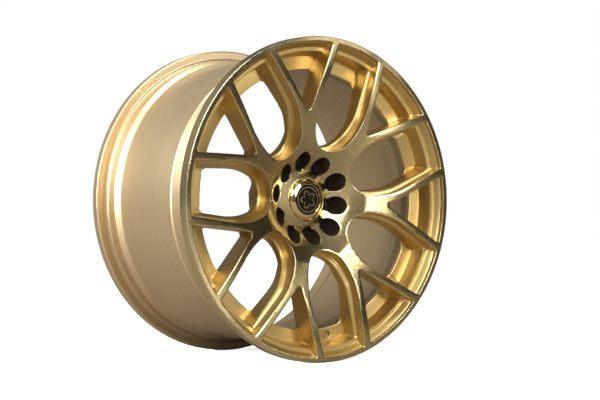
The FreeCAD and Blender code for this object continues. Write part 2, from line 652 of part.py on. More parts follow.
def make_cap_shell():
    body = new_body("cap_shell")
    revolve(body, "shell", [
        (EMBLEM_BACK, "0"),
        (EMBLEM_BACK, PEDESTAL_RADIUS),
        (PLATE_FRONT, PEDESTAL_RADIUS),
        (PLATE_FRONT, PLATE_RADIUS),
        ("cap_seat_depth", PLATE_RADIUS),
        ("cap_seat_depth", f"{FINGER_RADIUS} - finger_crown"),
        (f"{SHELL_BACK} - 5", f"{FINGER_RADIUS} - finger_crown"),
        (f"{SHELL_BACK} - 3", FINGER_RADIUS),
        (f"{SHELL_BACK} - 1", FINGER_RADIUS),
        (SHELL_BACK, f"{FINGER_RADIUS} - finger_crown"),
        (SHELL_BACK, FINGER_INNER),
        ("cap_seat_depth", FINGER_INNER),
        ("cap_seat_depth", f"{PEDESTAL_RADIUS} - shell_plate"),
        (f"{EMBLEM_BACK} + shell_plate", f"{PEDESTAL_RADIUS} - shell_plate"),
        (f"{EMBLEM_BACK} + shell_plate", "0"),
    ])
    sketch = front_sketch(body, "finger_slot", "cap_seat_depth + 1")
    near, far = measure(f"{FINGER_INNER} - 2"), measure("cap_bore_radius + 2")
    half = measure("finger_gap / 2")
    places = [FreeCAD.Vector(near, -half, 0), FreeCAD.Vector(far, -half, 0),
              FreeCAD.Vector(far, half, 0), FreeCAD.Vector(near, half, 0)]
    edges = [sketch.addGeometry(Part.LineSegment(places[number], places[(number + 1) % 4]), False)
             for number in range(4)]
    for number in range(4):
        sketch.addConstraint(Sketcher.Constraint("Coincident", edges[number - 1], 2, edges[number], 1))
    for edge, direction in zip(edges, ("Horizontal", "Vertical", "Horizontal", "Vertical")):
        sketch.addConstraint(Sketcher.Constraint(direction, edge))
    dimension(sketch, "DistanceX", -1, 1, edges[0], 1, size=f"{FINGER_INNER} - 2")
    dimension(sketch, "DistanceY", -1, 1, edges[0], 1, size="-finger_gap / 2")
    dimension(sketch, "DistanceX", -1, 1, edges[2], 1, size="cap_bore_radius + 2")
    dimension(sketch, "DistanceY", -1, 1, edges[2], 1, size="finger_gap / 2")
    repeat(body, cut(body, "finger_slots", sketch, "finger_length + 5"), FINGERS)
    return body


def make_cap_bezel():
    body = new_body("cap_bezel")
    bore = f"({PEDESTAL_RADIUS} + bezel_gap)"
    revolve(body, "bezel", [
        ("bezel_edge_depth", BEZEL_RADIUS),
        ("cap_front_depth - 0.4", f"{bore} + bezel_thickness"),
        ("cap_front_depth - 0.4", bore),
        (PLATE_FRONT, bore),
        (PLATE_FRONT, f"{BEZEL_RADIUS} - bezel_thickness"),
        ("cap_seat_depth - bezel_gap", f"{BEZEL_RADIUS} - bezel_thickness"),
        ("cap_seat_depth - bezel_gap", BEZEL_RADIUS),
    ])
    return body


def make_cap_emblem():
    body = new_body("cap_emblem")
    face_radius = "(emblem_radius - bezel_gap)"
    revolve(body, "disc", [
        ("cap_front_depth - emblem_crown", "0",
         f"({face_radius} * {face_radius} + emblem_crown * emblem_crown) / (2 * emblem_crown)"),
        ("cap_front_depth", face_radius),
        (EMBLEM_BACK, face_radius),
        (EMBLEM_BACK, "0"),
    ])
    return body


def make_cap_ring():
    """Split ring of round wire that presses the fingers outwards."""
    ring = doc.addObject("Part::Torus", "cap_retaining_ring")
    ring.Label = "cap_retaining_ring"
    ring.setExpression("Radius1", bound(f"{FINGER_INNER} - ring_wire_radius"))
    ring.setExpression("Radius2", bound("ring_wire_radius"))
    ring.Angle3 = 350
    place = f"{SHELL_BACK} - ring_back_gap - {MOUNT_DEPTH}"
    ring.Placement = FreeCAD.Placement(
        FreeCAD.Vector(0, measure(place), 0), FreeCAD.Rotation(FreeCAD.Vector(1, 0, 0), 90))
    ring.setExpression("Placement.Base.y", bound(place))
    doc.recompute()
    return ring


# ---------------------------------------------------------------------------------------
# Build, check and write
# ---------------------------------------------------------------------------------------
def main():
    pieces = [
        make_face(),
        make_barrel(),
        make_weld(),
        make_lug_seats("lug_seats_wide", "wide_pitch_radius", "lug_phase"),
        make_lug_seats("lug_seats_narrow", "narrow_pitch_radius", f"lug_phase - {180 / LUGS_PER_CIRCLE}"),
        make_cap_shell(),
        make_cap_bezel(),
        make_cap_emblem(),
        make_cap_ring(),
    ]
    doc.recompute()
    for item in doc.Objects:
        if "Invalid" in item.State or "Error" in item.State:
            raise RuntimeError(f"{item.Label} has failed: {item.State}")
    for piece in pieces:
        if piece.Shape.isNull() or not piece.Shape.isValid():
            raise RuntimeError(f"{piece.Label} has no valid shape")
    os.makedirs("parts", exist_ok=True)
    for piece in pieces:
        piece.Shape.exportStep(f"parts/{piece.Label}.step")
        box = piece.Shape.BoundBox
        print(f"{piece.Label}: {len(piece.Shape.Solids)} solid(s), {piece.Shape.Volume / 1000:.1f} cm3, "
              f"y {box.YMin:.1f} to {box.YMax:.1f}")


main()
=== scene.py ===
"""Looks of a forged racing wheel: a machined and painted face, a spun barrel and a push-in centre cap.

The wheel's axle lies along Y with the styled face towards -Y. Sizes inside the classes are in
millimetres, as on a wheel drawing, and places along the axle are depths behind the front lip plane.
They become metres only when a draft is turned into a mesh.
"""

import logging
import math
from dataclasses import dataclass, field
from enum import IntEnum
from typing import Callable, Iterable, Sequence

import bmesh
import bpy
import numpy as np
from mathutils import Matrix, Vector
from mathutils.geometry import delaunay_2d_cdt

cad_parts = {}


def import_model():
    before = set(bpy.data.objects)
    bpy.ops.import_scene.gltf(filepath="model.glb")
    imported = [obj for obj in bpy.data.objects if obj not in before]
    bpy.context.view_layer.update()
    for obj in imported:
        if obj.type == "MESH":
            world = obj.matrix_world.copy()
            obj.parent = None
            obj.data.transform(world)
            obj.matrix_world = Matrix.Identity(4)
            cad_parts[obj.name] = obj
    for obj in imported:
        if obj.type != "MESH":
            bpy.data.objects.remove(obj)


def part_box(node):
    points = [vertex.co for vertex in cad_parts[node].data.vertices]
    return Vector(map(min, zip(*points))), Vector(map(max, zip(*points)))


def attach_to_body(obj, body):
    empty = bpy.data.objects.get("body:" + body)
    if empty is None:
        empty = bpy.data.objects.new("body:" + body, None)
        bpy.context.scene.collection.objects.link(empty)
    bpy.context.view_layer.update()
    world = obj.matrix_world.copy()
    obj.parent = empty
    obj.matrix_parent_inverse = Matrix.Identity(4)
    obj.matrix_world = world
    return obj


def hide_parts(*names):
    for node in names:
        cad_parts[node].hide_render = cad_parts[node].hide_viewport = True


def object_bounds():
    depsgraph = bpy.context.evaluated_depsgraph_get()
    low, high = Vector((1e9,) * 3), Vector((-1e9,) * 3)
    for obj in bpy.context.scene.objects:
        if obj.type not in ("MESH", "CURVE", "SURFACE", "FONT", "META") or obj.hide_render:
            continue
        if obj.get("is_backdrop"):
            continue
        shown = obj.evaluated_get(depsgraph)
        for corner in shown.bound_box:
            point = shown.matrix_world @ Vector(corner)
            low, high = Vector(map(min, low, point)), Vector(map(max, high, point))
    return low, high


LOG = logging.getLogger("wheel")
MM = 0.001
MOUNT_DEPTH = 103.65
SPOKES = 7
SECTOR = 2.0 * math.pi / SPOKES
SPOKE_PHASE = math.radians(99.19)
VALVE_LAND = (202.2, 220.0)
LAND_DEPTH = 39.0
SECOND_STEP = 16.5
Point = tuple[float, float]
Row = tuple[float, float, float]


class Finish(IntEnum):
    """Finishes of the forged face, in the order of its material slots."""

    MACHINED = 0
    # Machined chamfers in a much lighter colour: a painted highlight along the machined edges.
    PAINTED_HIGHLIGHT_EDGE = 1
    GOLD_PAINT = 2
    # Near-black: dark socket paint with the shade of the deep lug bores painted into the colour.
    SOCKET_PAINT_AND_SHADE = 3
    SATIN_BACK = 4


# ---------------------------------------------------------------------------------------
# Mesh drafts
# ---------------------------------------------------------------------------------------
@dataclass
class Draft:
    """Vertices and faces of a piece while it is put together, in millimetres.

    Points are (x, depth, z) with the depth behind the lip plane.
    """

    points: list[tuple[float, float, float]] = field(default_factory=list)
    faces: list[tuple[int, ...]] = field(default_factory=list)
    finishes: list[int] = field(default_factory=list)

    def add_points(self, rows: Iterable[Sequence[float]]) -> list[int]:
        """Adds points.

        Args:
            rows: (x, depth, z) of each point.

        Returns:
            The points' numbers.
        """
        first = len(self.points)
        self.points.extend((float(x), float(d), float(z)) for x, d, z in rows)
        return list(range(first, len(self.points)))

    def add_face(self, corners: Sequence[int], finish: int) -> None:
        """Adds one face unless two of its corners are the same point."""
        if len(set(corners)) == len(corners):
            self.faces.append(tuple(corners))
            self.finishes.append(int(finish))

    def bridge(self, front: Sequence[int], rear: Sequence[int], finish: int, closed: bool = False,
               flip: bool = False) -> None:
        """Joins two rows of points with quads.

        Args:
            front: The row nearer the face.
            rear: The next row.
            finish: Finish of the strip.
            closed: True if the rows are rings.
            flip: True if the rows run clockwise round what they look into.
        """
        count = len(front) if closed else len(front) - 1
        for index in range(count):
            after = (index + 1) % len(front)
            quad = (front[index], front[after], rear[after], rear[index])
            self.add_face(quad[::-1] if flip else quad, finish)

    def mesh(self, name: str, sharp: float = 38.0, weld: float = 0.004) -> bpy.types.Mesh:
        """Turns the draft into a mesh in metres with closed seams.

        Args:
            name: Name of the mesh.
            sharp: Edges that turn by more than this many degrees stay sharp.
            weld: Points closer than this, in millimetres, become one.

        Returns:
            The mesh.
        """
        keys: dict[tuple[int, int, int], int] = {}
        kept: list[tuple[float, float, float]] = []
        number = []
        for x, d, z in self.points:
            key = (round(x / weld), round(d / weld), round(z / weld))
            if key not in keys:
                keys[key] = len(kept)
                kept.append((x * MM, (d - MOUNT_DEPTH) * MM, z * MM))
            number.append(keys[key])
        faces, finishes = [], []
        for corners, finish in zip(self.faces, self.finishes):
            merged = []
            for corner in corners:
                if number[corner] not in merged:
                    merged.append(number[corner])
            if len(merged) > 2:
                faces.append(merged)
                finishes.append(finish)
        mesh = bpy.data.meshes.new(name)
        mesh.from_pydata(kept, [], faces)
        mesh.polygons.foreach_set("material_index", finishes)
        finish_mark = mesh.attributes.new("finish", "INT", "FACE")
        finish_mark.data.foreach_set("value", finishes)
        mesh.polygons.foreach_set("use_smooth", [True] * len(faces))
        mesh.set_sharp_from_angle(angle=math.radians(sharp))
        mesh.update()
        return mesh


def polar(radius: float, angle: float) -> Point:
    """Point at a radius and an angle."""
    return radius * math.cos(angle), radius * math.sin(angle)


def turned(point: Point, angle: float) -> Point:
    """Point turned about the axle."""
    x, z = point
    return x * math.cos(angle) - z * math.sin(angle), x * math.sin(angle) + z * math.cos(angle)


def rounded_profile(corners: Sequence[tuple[float, ...]], steps: int = 5,
                    closed: bool = False) -> list[Point]:
    """Polyline whose corners are rounded.

    Args:
        corners: (depth, radius) or (depth, radius, fillet) of each corner.
        steps: Faces in each fillet.
        closed: True if the last corner is followed by the first.

    Returns:
        Points (depth, radius), with a support point beside each fillet.
    """
    out: list[Point] = []
    count = len(corners)
    for index, corner in enumerate(corners):
        here = np.array(corner[:2], float)
        fillet = corner[2] if len(corner) > 2 else 0.0
        ends = not closed and index in (0, count - 1)
        if fillet <= 0 or ends:
            out.append((here[0], here[1]))
            continue
        before = np.array(corners[index - 1][:2], float)
        after = np.array(corners[(index + 1) % count][:2], float)
        way_in, way_out = here - before, after - here
        long_in, long_out = np.linalg.norm(way_in), np.linalg.norm(way_out)
        way_in, way_out = way_in / long_in, way_out / long_out
        turn = math.acos(max(-1.0, min(1.0, float(way_in @ way_out))))
        if turn < 0.02:
            out.append((here[0], here[1]))
            continue
        reach = min(fillet * math.tan(turn / 2), 0.45 * long_in, 0.45 * long_out)
        radius = reach / math.tan(turn / 2)
        side = math.copysign(1.0, way_in[0] * way_out[1] - way_in[1] * way_out[0])
        start = here - way_in * reach
        centre = start + np.array((-way_in[1], way_in[0])) * side * radius
        support = min(0.4, 0.2 * reach + 0.05)
        out.append(tuple(start - way_in * support))
        spoke = start - centre
        for step in range(steps + 1):
            angle = side * turn * step / steps
            cosine, sine = math.cos(angle), math.sin(angle)
            arm = np.array((spoke[0] * cosine - spoke[1] * sine, spoke[0] * sine + spoke[1] * cosine))
            out.append(tuple(centre + arm))
        end = here + way_out * reach
        out.append(tuple(end + way_out * support))
    return out


def revolve(draft: Draft, profile: Sequence[Point], segments: int,
            finish: int | Callable[[float, float], int], closed: bool = False,
            phase: float = SPOKE_PHASE) -> None:
    """Sweeps a half section about the axle. Its outer side runs rearwards, so faces point outwards.

    Args:
        draft: Draft that takes the faces.
        profile: (depth, radius) points; a radius of zero makes a closed pole.
        segments: Faces round the axle.
        finish: One finish, or a rule that gives it from the strip's middle depth and radius.
        closed: True for a ring with a closed section.
        phase: Angle of the first column.
    """
    rows = []
    for depth, radius in profile:
        if radius < 1e-6:
            rows.append(draft.add_points([(0.0, depth, 0.0)]) * segments)
            continue
        angles = (phase + 2 * math.pi * step / segments for step in range(segments))
        rows.append(draft.add_points(
            (radius * math.cos(angle), depth, radius * math.sin(angle)) for angle in angles))
    count = len(rows) if closed else len(rows) - 1
    for index in range(count):
        after = (index + 1) % len(rows)
        middle = [(profile[index][axis] + profile[after][axis]) / 2 for axis in (0, 1)]
        mark = finish(*middle) if callable(finish) else finish
        for step in range(segments):
            beside = (step + 1) % segments
            corners = [rows[index][step], rows[after][step], rows[after][beside], rows[index][beside]]
            unique = list(dict.fromkeys(corners))
            if len(unique) > 2:
                draft.add_face(unique, mark)


def inside(polygon: np.ndarray, points: np.ndarray) -> np.ndarray:
    """Which points lie inside a polygon, by counting crossings."""
    x, y = points[:, 0][:, None], points[:, 1][:, None]
    x0, y0 = polygon[:, 0][None], polygon[:, 1][None]
    x1, y1 = np.roll(polygon[:, 0], -1)[None], np.roll(polygon[:, 1], -1)[None]
    with np.errstate(divide="ignore", invalid="ignore"):
        crossing = ((y0 > y) != (y1 > y)) & (x < (x1 - x0) * (y - y0) / (y1 - y0) + x0)
    return crossing.sum(axis=1) % 2 == 1


def clearance(polygon: np.ndarray, points: np.ndarray) -> np.ndarray:
    """Distance from each point to the nearest side of a polygon."""
    start, end = polygon, np.roll(polygon, -1, axis=0)
    way = end - start
    length = np.maximum((way ** 2).sum(axis=1), 1e-12)
    best = np.full(len(points), 1e9)
    for a, w, size in zip(start, way, length):
        share = np.clip(((points - a) @ w) / size, 0, 1)
        best = np.minimum(best, np.linalg.norm(points - a - share[:, None] * w, axis=1))
    return best


def fill(draft: Draft, outer: Sequence[Row], holes: Sequence[Sequence[Row]], grid: np.ndarray,
         depth: Callable[[float], float], finish: int, rearward: bool, margin: float) -> None:
    """Covers a flat-on region with triangles that follow a depth rule.

    Args:
        draft: Draft that takes the faces.
        outer: Boundary (x, z, depth).
        holes: Boundaries of the holes.
        grid: Candidate inner points, one (x, z) a row.
        depth: Depth of an inner point from its radius.
        finish: Finish of the faces.
        rearward: True if the faces look to the rear.
        margin: Inner points keep this far from every boundary.
    """
    rings = [np.array(outer, float)] + [np.array(hole, float) for hole in holes]
    keep = inside(rings[0][:, :2], grid)
    for ring in rings[1:]:
        keep &= ~inside(ring[:, :2], grid)
    grid = grid[keep]
    for ring in rings:
        grid = grid[clearance(ring[:, :2], grid) > margin]
    spots, depths, edges = [], [], []
    for ring in rings:
        first = len(spots)
        spots.extend(Vector((row[0], row[1])) for row in ring)
        depths.extend(row[2] for row in ring)
        edges.extend((first + step, first + (step + 1) % len(ring)) for step in range(len(ring)))
    spots.extend(Vector((row[0], row[1])) for row in grid)
    depths.extend(depth(math.hypot(*row)) for row in grid)
    verts, _, triangles, origins, _, _ = delaunay_2d_cdt(spots, edges, [], 0, 1e-5, True)
    flat = np.array([(vert.x, vert.y) for vert in verts])
    heights = [depths[origin[0]] if origin else depth(math.hypot(*spot))
               for origin, spot in zip(origins, flat)]
    centres = np.array([flat[list(triangle)].mean(axis=0) for triangle in triangles])
    keep = inside(rings[0][:, :2], centres)
    for ring in rings[1:]:
        keep &= ~inside(ring[:, :2], centres)
    number = draft.add_points((x, high, z) for (x, z), high in zip(flat, heights))
    for triangle, wanted in zip(triangles, keep):
        if not wanted:
            continue
        a, b, c = (flat[corner] for corner in triangle)
        ccw = (b[0] - a[0]) * (c[1] - a[1]) - (b[1] - a[1]) * (c[0] - a[0]) > 0
        corners = [number[corner] for corner in triangle]
        draft.add_face(corners if ccw != rearward else corners[::-1], finish)


# ---------------------------------------------------------------------------------------
# Forged face
# ---------------------------------------------------------------------------------------
@dataclass(frozen=True)
class FaceContour:
    """Depths of the face, the shoulders and the backs of the spokes against the radius."""

    lip_inner: float = 240.9
    crease_radius: float = 97.0
    crease_depth: float = 21.0
    spoke_bow: float = 560.0
    valley_radius: float = 46.5
    valley_depth: float = 56.0
    cone_bow: float = 190.0
    boss_radius: float = 34.2
    boss_depth: float = 48.5

    @staticmethod
    def bow(start: Point, end: Point, bow: float, radius: float) -> float:
        """Depth at a radius on an arc that bulges towards the front.

        Args:
            start: (depth, radius) of the inner end.
            end: (depth, radius) of the outer end.
            bow: Radius of the arc.
            radius: Where the depth is wanted.

        Returns:
            The depth.
        """
        middle = ((start[0] + end[0]) / 2, (start[1] + end[1]) / 2)
        way = (end[0] - start[0], end[1] - start[1])
        length = math.hypot(*way)
        reach = math.sqrt(bow * bow - length * length / 4)
        centre = (middle[0] + way[1] / length * reach, middle[1] - way[0] / length * reach)
        return centre[0] - math.sqrt(bow * bow - (radius - centre[1]) ** 2)

    def face(self, radius: float) -> float:
        """Depth of the machined face."""
        if radius >= self.lip_inner:
            return 0.0
        if radius >= self.crease_radius:
            return self.bow((self.crease_depth, self.crease_radius), (0.0, self.lip_inner),
                            self.spoke_bow, radius)
        if radius >= self.valley_radius:
            return self.bow((self.valley_depth, self.valley_radius), (self.crease_depth, self.crease_radius),
                            self.cone_bow, radius)
        share = (radius - self.boss_radius) / (self.valley_radius - self.boss_radius)
        return self.boss_depth + share * (self.valley_depth - self.boss_depth)

    @staticmethod
    def shoulder(radius: float) -> float:
        """Depth of the shoulders inside the large windows."""
        return float(np.interp(radius, (70.0, 97.0, 118.0, 150.0, 228.0), (57.0, 46.0, 34.5, 24.0, 17.0)))

    @staticmethod
    def shoulder_width(radius: float) -> float:
        """Distance from the window's wall to the shoulder's rolled-over edge."""
        return float(np.interp(radius, (79.0, 150.0, 222.0), (10.0, 9.0, 5.6)))

    @staticmethod
    def shoulder_roll(radius: float) -> float:
        """How far the shoulder's edge rolls over."""
        return float(np.interp(radius, (79.0, 150.0, 222.0), (7.5, 6.5, 5.0)))

    @staticmethod
    def back(radius: float) -> float:
        """Depth of the spokes' and hub's back."""
        return float(np.interp(radius, (36.55, 70.0, 73.0, 88.0, 112.0, 139.7),
                               (103.65, 103.65, 91.65, 68.0, 50.0, 43.5)))


@dataclass(frozen=True)
class Level:
    """One loop on the way down a window.

    Attributes:
        side: Depth of the sides as a rule of the radius.
        offset: Distance from the machined outline, a number or a rule of the radius.
        rim: Depth at the rim's arc.
        reach: Radius of that arc.
        corner: Corner radius between side and arc.
        land_rim: Depth of the arc on the land, if it differs.
        land_reach: Radius of the arc on the land, if it differs.
        finish: Finish of the strip that leads to this loop.
    """

    side: Callable[[float], float]
    offset: float | Callable[[float], float]
    rim: float
    reach: float
    corner: float
    finish: Finish = Finish.GOLD_PAINT
    land_rim: float | None = None
    land_reach: float | None = None


@dataclass(frozen=True)
class Window:
    """Outline of a window about its own middle line, as half of it above that line."""

    lean: float
    offset: float
    tip: float
    land_half: float
    centre: float | None = None
    blend: float | None = None
    arc_points: int = 9
    land_points: int = 9
    corner_points: int = 7
    side_points: int = 26
    blend_points: int = 14
    tip_points: int = 18

    def along(self, offset: float, run: float) -> np.ndarray:
        """Point at an offset from the axle and a run along the side."""
        sine, cosine = math.sin(self.lean), math.cos(self.lean)
        return np.array((-sine * offset + cosine * run, cosine * offset + sine * run))

    def half(self, inset: float, reach: float, corner: float,
             land_reach: float) -> tuple[np.ndarray, np.ndarray, np.ndarray]:
        """Half outline from the middle of the rim's arc to the tip.

        Args:
            inset: Distance inside the machined outline.
            reach: Radius of the rim's arc.
            corner: Corner radius.
            land_reach: Radius of the arc on the land.

        Returns:
            Points, the weight of the rim's depth at each, and whether each is on the land.
        """
        offset, tip = self.offset - inset, self.tip - inset
        side_end_run = math.sqrt((reach - corner) ** 2 - (offset - corner) ** 2)
        corner_centre = self.along(offset - corner, side_end_run)
        side_end = self.along(offset, side_end_run)
        arc_end = corner_centre * reach / (reach - corner)
        arc_angle = math.atan2(arc_end[1], arc_end[0])
        land_angle = min(self.land_half, arc_angle * 0.999)
        points, rim, land = [], [], []
        for angle in np.linspace(0, land_angle, self.land_points):
            points.append(polar(land_reach, angle))
            rim.append(1.0)
            land.append(True)
        for angle in np.linspace(land_angle, arc_angle, self.arc_points):
            points.append(polar(reach, angle))
            rim.append(1.0)
            land.append(False)
        first = math.atan2(*(arc_end - corner_centre)[::-1])
        last = math.atan2(*(side_end - corner_centre)[::-1])
        for share in np.linspace(0, 1, self.corner_points)[1:]:
            angle = first + (last - first) * share
            points.append(tuple(corner_centre + corner * np.array((math.cos(angle), math.sin(angle)))))
            rim.append(1.0 - share)
            land.append(False)
        if self.blend is not None:
            blend = self.blend - inset
            across = -self.centre * math.sin(self.lean)
            run = self.centre * math.cos(self.lean) + math.sqrt(
                (blend - tip) ** 2 - (offset - blend - across) ** 2)
            blend_centre = self.along(offset - blend, run)
            side_start = self.along(offset, run)
            tip_centre = np.array((self.centre, 0.0))
            way = tip_centre - blend_centre
            tip_start = tip_centre + way / np.linalg.norm(way) * tip
        else:
            tip_centre = np.array((-(offset - tip) / math.sin(self.lean), 0.0))
            side_start = tip_centre + np.array((-math.sin(self.lean), math.cos(self.lean))) * tip
            tip_start = side_start
        for share in np.linspace(0, 1, self.side_points)[1:]:
            points.append(tuple(side_end + (side_start - side_end) * share))
        if self.blend is not None:
            first = math.atan2(*(side_start - blend_centre)[::-1])
            last = math.atan2(*(tip_start - blend_centre)[::-1])
            for angle in np.linspace(first, last, self.blend_points)[1:]:
                points.append(tuple(blend_centre + blend * np.array((math.cos(angle), math.sin(angle)))))
        first = math.atan2(*(tip_start - tip_centre)[::-1])
        for angle in np.linspace(first, math.pi, self.tip_points)[1:]:
            points.append(tuple(tip_centre + tip * np.array((math.cos(angle), math.sin(angle)))))
        plain = len(points) - len(rim)
        return np.array(points), np.array(rim + [0.0] * plain), np.array(land + [False] * plain)

    def loop(self, level: Level) -> list[Row]:
        """Half loop of a level as (along, across, depth) rows."""
        land_reach = level.reach if level.land_reach is None else level.land_reach
        land_rim = level.rim if level.land_rim is None else level.land_rim
        if callable(level.offset):
            near, rim, land = self.half(0.0, level.reach, level.corner, land_reach)
            far, _, _ = self.half(4.0, level.reach, level.corner, land_reach)
            share = np.array([level.offset(math.hypot(*point)) / 4.0 for point in near])[:, None]
            points = near + (far - near) * share
        else:
            points, rim, land = self.half(level.offset, level.reach, level.corner, land_reach)
        rows = []
        for (along, across), weight, on_land in zip(points, rim, land):
            at_rim = land_rim if on_land else level.rim
            side = level.side(math.hypot(along, across))
            rows.append((along, across, weight * at_rim + (1 - weight) * side))
        return rows


@dataclass
class ForgedFace:
    """Hub, seven Y-spokes, stepped lip, front flange and front half of the well, as one forging."""

    contour: FaceContour = FaceContour()
    large: Window = Window(lean=math.radians(-3.8), offset=56.1, tip=37.7, land_half=math.radians(9.0),
                           centre=116.7, blend=124.0)
    small: Window = Window(lean=math.radians(28.06), offset=-61.4, tip=6.0, land_half=math.radians(13.2),
                           land_points=12, arc_points=2, side_points=30, tip_points=9)
    lip_edge: float = 247.3
    hub_split: float = 78.0
    columns: int = 48
    socket_radius: float = 14.25
    seat_top: float = 87.9
    seat_bore: float = 11.5
    lug_circles: tuple[tuple[float, float], ...] = ((60.0, math.radians(99.19)), (57.15, math.radians(63.19)))
    valve_radius: float = 5.65
    valve_pitch: float = 212.0

    def step_levels(self, wall_foot: Callable[[float], float], foot_rim: float) -> list[Level]:
        """Loops from the machined outline down the lip's two steps.

        Args:
            wall_foot: Depth of the foot of the window's wall.
            foot_rim: That depth at the rim.

        Returns:
            The levels, front to back.
        """
        face = self.contour.face

        def share(part: float) -> Callable[[float], float]:
            """Rule for a depth that is a share of the wall's height."""
            return lambda radius: face(radius) + part * (wall_foot(radius) - face(radius))

        def drop(depth: float) -> Callable[[float], float]:
            """Rule for a depth that is a drop below the face."""
            return lambda radius: face(radius) + depth

        rows = (
            (0.45, 6.2, 240.45, 3.0), (0.45, 6.8, 240.25, 3.0), (0.47, 7.0, 239.9, 3.0),
            (0.47, 7.02, 239.5, 3.0), (0.5, 7.35, 239.1, 3.2), (0.55, 11.3, 236.6, 3.6),
            (0.6, 15.3, 234.15, 4.0), (0.6, 16.1, 233.5, 4.2), (0.6, 16.45, 232.8, 4.4),
            (0.6, SECOND_STEP, 232.0, 4.5))
        levels = [
            Level(drop(0.0), 0.0, 0.0, 240.9, 3.0),
            # The two chamfer strips below the machined outline take the lighter colour, a painted highlight
            # along the edge.
            Level(drop(0.12), 0.22, 0.12, 240.68, 3.0, Finish.PAINTED_HIGHLIGHT_EDGE),
            Level(drop(0.4), 0.4, 0.4, 240.5, 3.0, Finish.PAINTED_HIGHLIGHT_EDGE),
        ]
        for offset, depth, reach, corner in rows:
            levels.append(Level(share(depth / foot_rim), offset, depth, reach, corner))
        return levels

    def large_levels(self) -> list[Level]:
        """Loops down a large window: steps, wall, rolled shoulder, rear wall, land and back."""
        contour = self.contour
        foot, back, width = contour.shoulder, contour.back, contour.shoulder_width
        web = 10.5

        def wall_radius(depth: float) -> float:
            """Radius of the slanting wall between the second step and the land."""
            return 227.2 - 5.7 * (depth - SECOND_STEP) / 22.5

        levels = self.step_levels(foot, 17.0)
        levels += [
            Level(lambda r: foot(r) - 1.6, 0.6, SECOND_STEP, 228.0, 4.5),
            Level(lambda r: foot(r) - 0.6, 0.85, 16.6, 227.4, 4.5),
            Level(lambda r: foot(r) - 0.12, 1.5, 16.9, 227.15, 4.5),
            Level(foot, 2.4, 17.3, 226.95, 4.5),
        ]
        for turn in np.radians(np.linspace(12, 90, 7)):
            drop = 1 - math.cos(turn)
            reach = math.sin(turn)
            levels.append(Level(
                lambda r, drop=drop: foot(r) + contour.shoulder_roll(r) * drop,
                lambda r, reach=reach: 2.4 + (width(r) - 2.4) * reach,
                17.3 + 5.0 * drop, wall_radius(17.3 + 5.0 * drop), 4.5))

        def rear_side(share: float) -> Callable[[float], float]:
            """Rule for the depth at a share of the way from the shoulder to the back."""
            def rule(radius: float) -> float:
                """Depth at a radius."""
                top = foot(radius) + contour.shoulder_roll(radius)
                return top + share * (back(radius) - 0.9 - top)
            return rule

        def rear_offset(share: float) -> Callable[[float], float]:
            """Rule for the offset at that share."""
            return lambda radius: width(radius) + share * (web - width(radius))

        for share in (0.08, 0.5, 0.92):
            depth = 22.3 + share * (38.0 - 22.3)
            levels.append(Level(rear_side(share), rear_offset(share), depth, wall_radius(depth), 4.5))
        full = rear_side(1.0)
        levels += [
            Level(full, web, 39.4, 221.3, 4.5, land_rim=38.7, land_reach=221.4),
            Level(full, web, 40.8, 220.6, 4.5, land_rim=38.98, land_reach=220.8),
            Level(full, web, 41.4, 219.8, 4.6, land_rim=LAND_DEPTH, land_reach=VALVE_LAND[1]),
            Level(full, web, 41.5, 218.8, 5.0, land_rim=LAND_DEPTH, land_reach=VALVE_LAND[0]),
            Level(full, web, 41.5, 204.0, 10.0, land_rim=39.05, land_reach=201.6),
            Level(full, web, 41.6, 202.2, 11.5, land_rim=39.3, land_reach=201.1),
            Level(full, web, 42.1, 201.6, 12.0, land_rim=39.8, land_reach=200.95),
            Level(lambda r: back(r) - 0.25, 10.25, 43.3, 201.5, 12.0, land_rim=44.9, land_reach=200.95),
            Level(back, 9.9, 43.5, 202.2, 12.0, land_rim=45.0, land_reach=201.3),
        ]
        return levels

    def small_levels(self) -> list[Level]:
        """Loops down a small window: steps, plain wall, land and back."""
        contour = self.contour
        wall_height = 42.5

        def foot(radius: float) -> float:
            """Depth of the foot of the window's plain wall."""
            return contour.back(radius) - 1.0

        def part(depth: float) -> Callable[[float], float]:
            """Rule for the side's depth where the rim's is the one given."""
            return lambda r: contour.face(r) + depth / wall_height * (foot(r) - contour.face(r))

        levels = self.step_levels(foot, wall_height)

        levels += [
            Level(part(SECOND_STEP), 0.6, SECOND_STEP, 228.0, 4.5),
            Level(part(16.6), 0.62, 16.6, 227.4, 4.5),
            Level(part(17.0), 0.65, 17.0, 227.1, 4.5),
            Level(part(27.0), 0.8, 27.0, 224.5, 4.5),
            Level(part(38.0), 0.95, 38.0, 221.8, 4.5),
            Level(part(38.8), 1.0, 38.8, 221.3, 4.5),
            Level(part(LAND_DEPTH), 1.0, LAND_DEPTH, 220.4, 4.5),
            Level(part(LAND_DEPTH), 1.0, LAND_DEPTH, 202.2, 3.5),
            Level(part(39.3), 1.0, 39.3, 201.3, 3.0),
            Level(part(39.8), 1.0, 39.8, 201.0, 3.0),
            Level(lambda r: contour.back(r) - 0.25, 0.75, 44.8, 200.95, 3.0),
            Level(contour.back, 0.4, 45.0, 201.3, 3.0),
        ]
        return levels

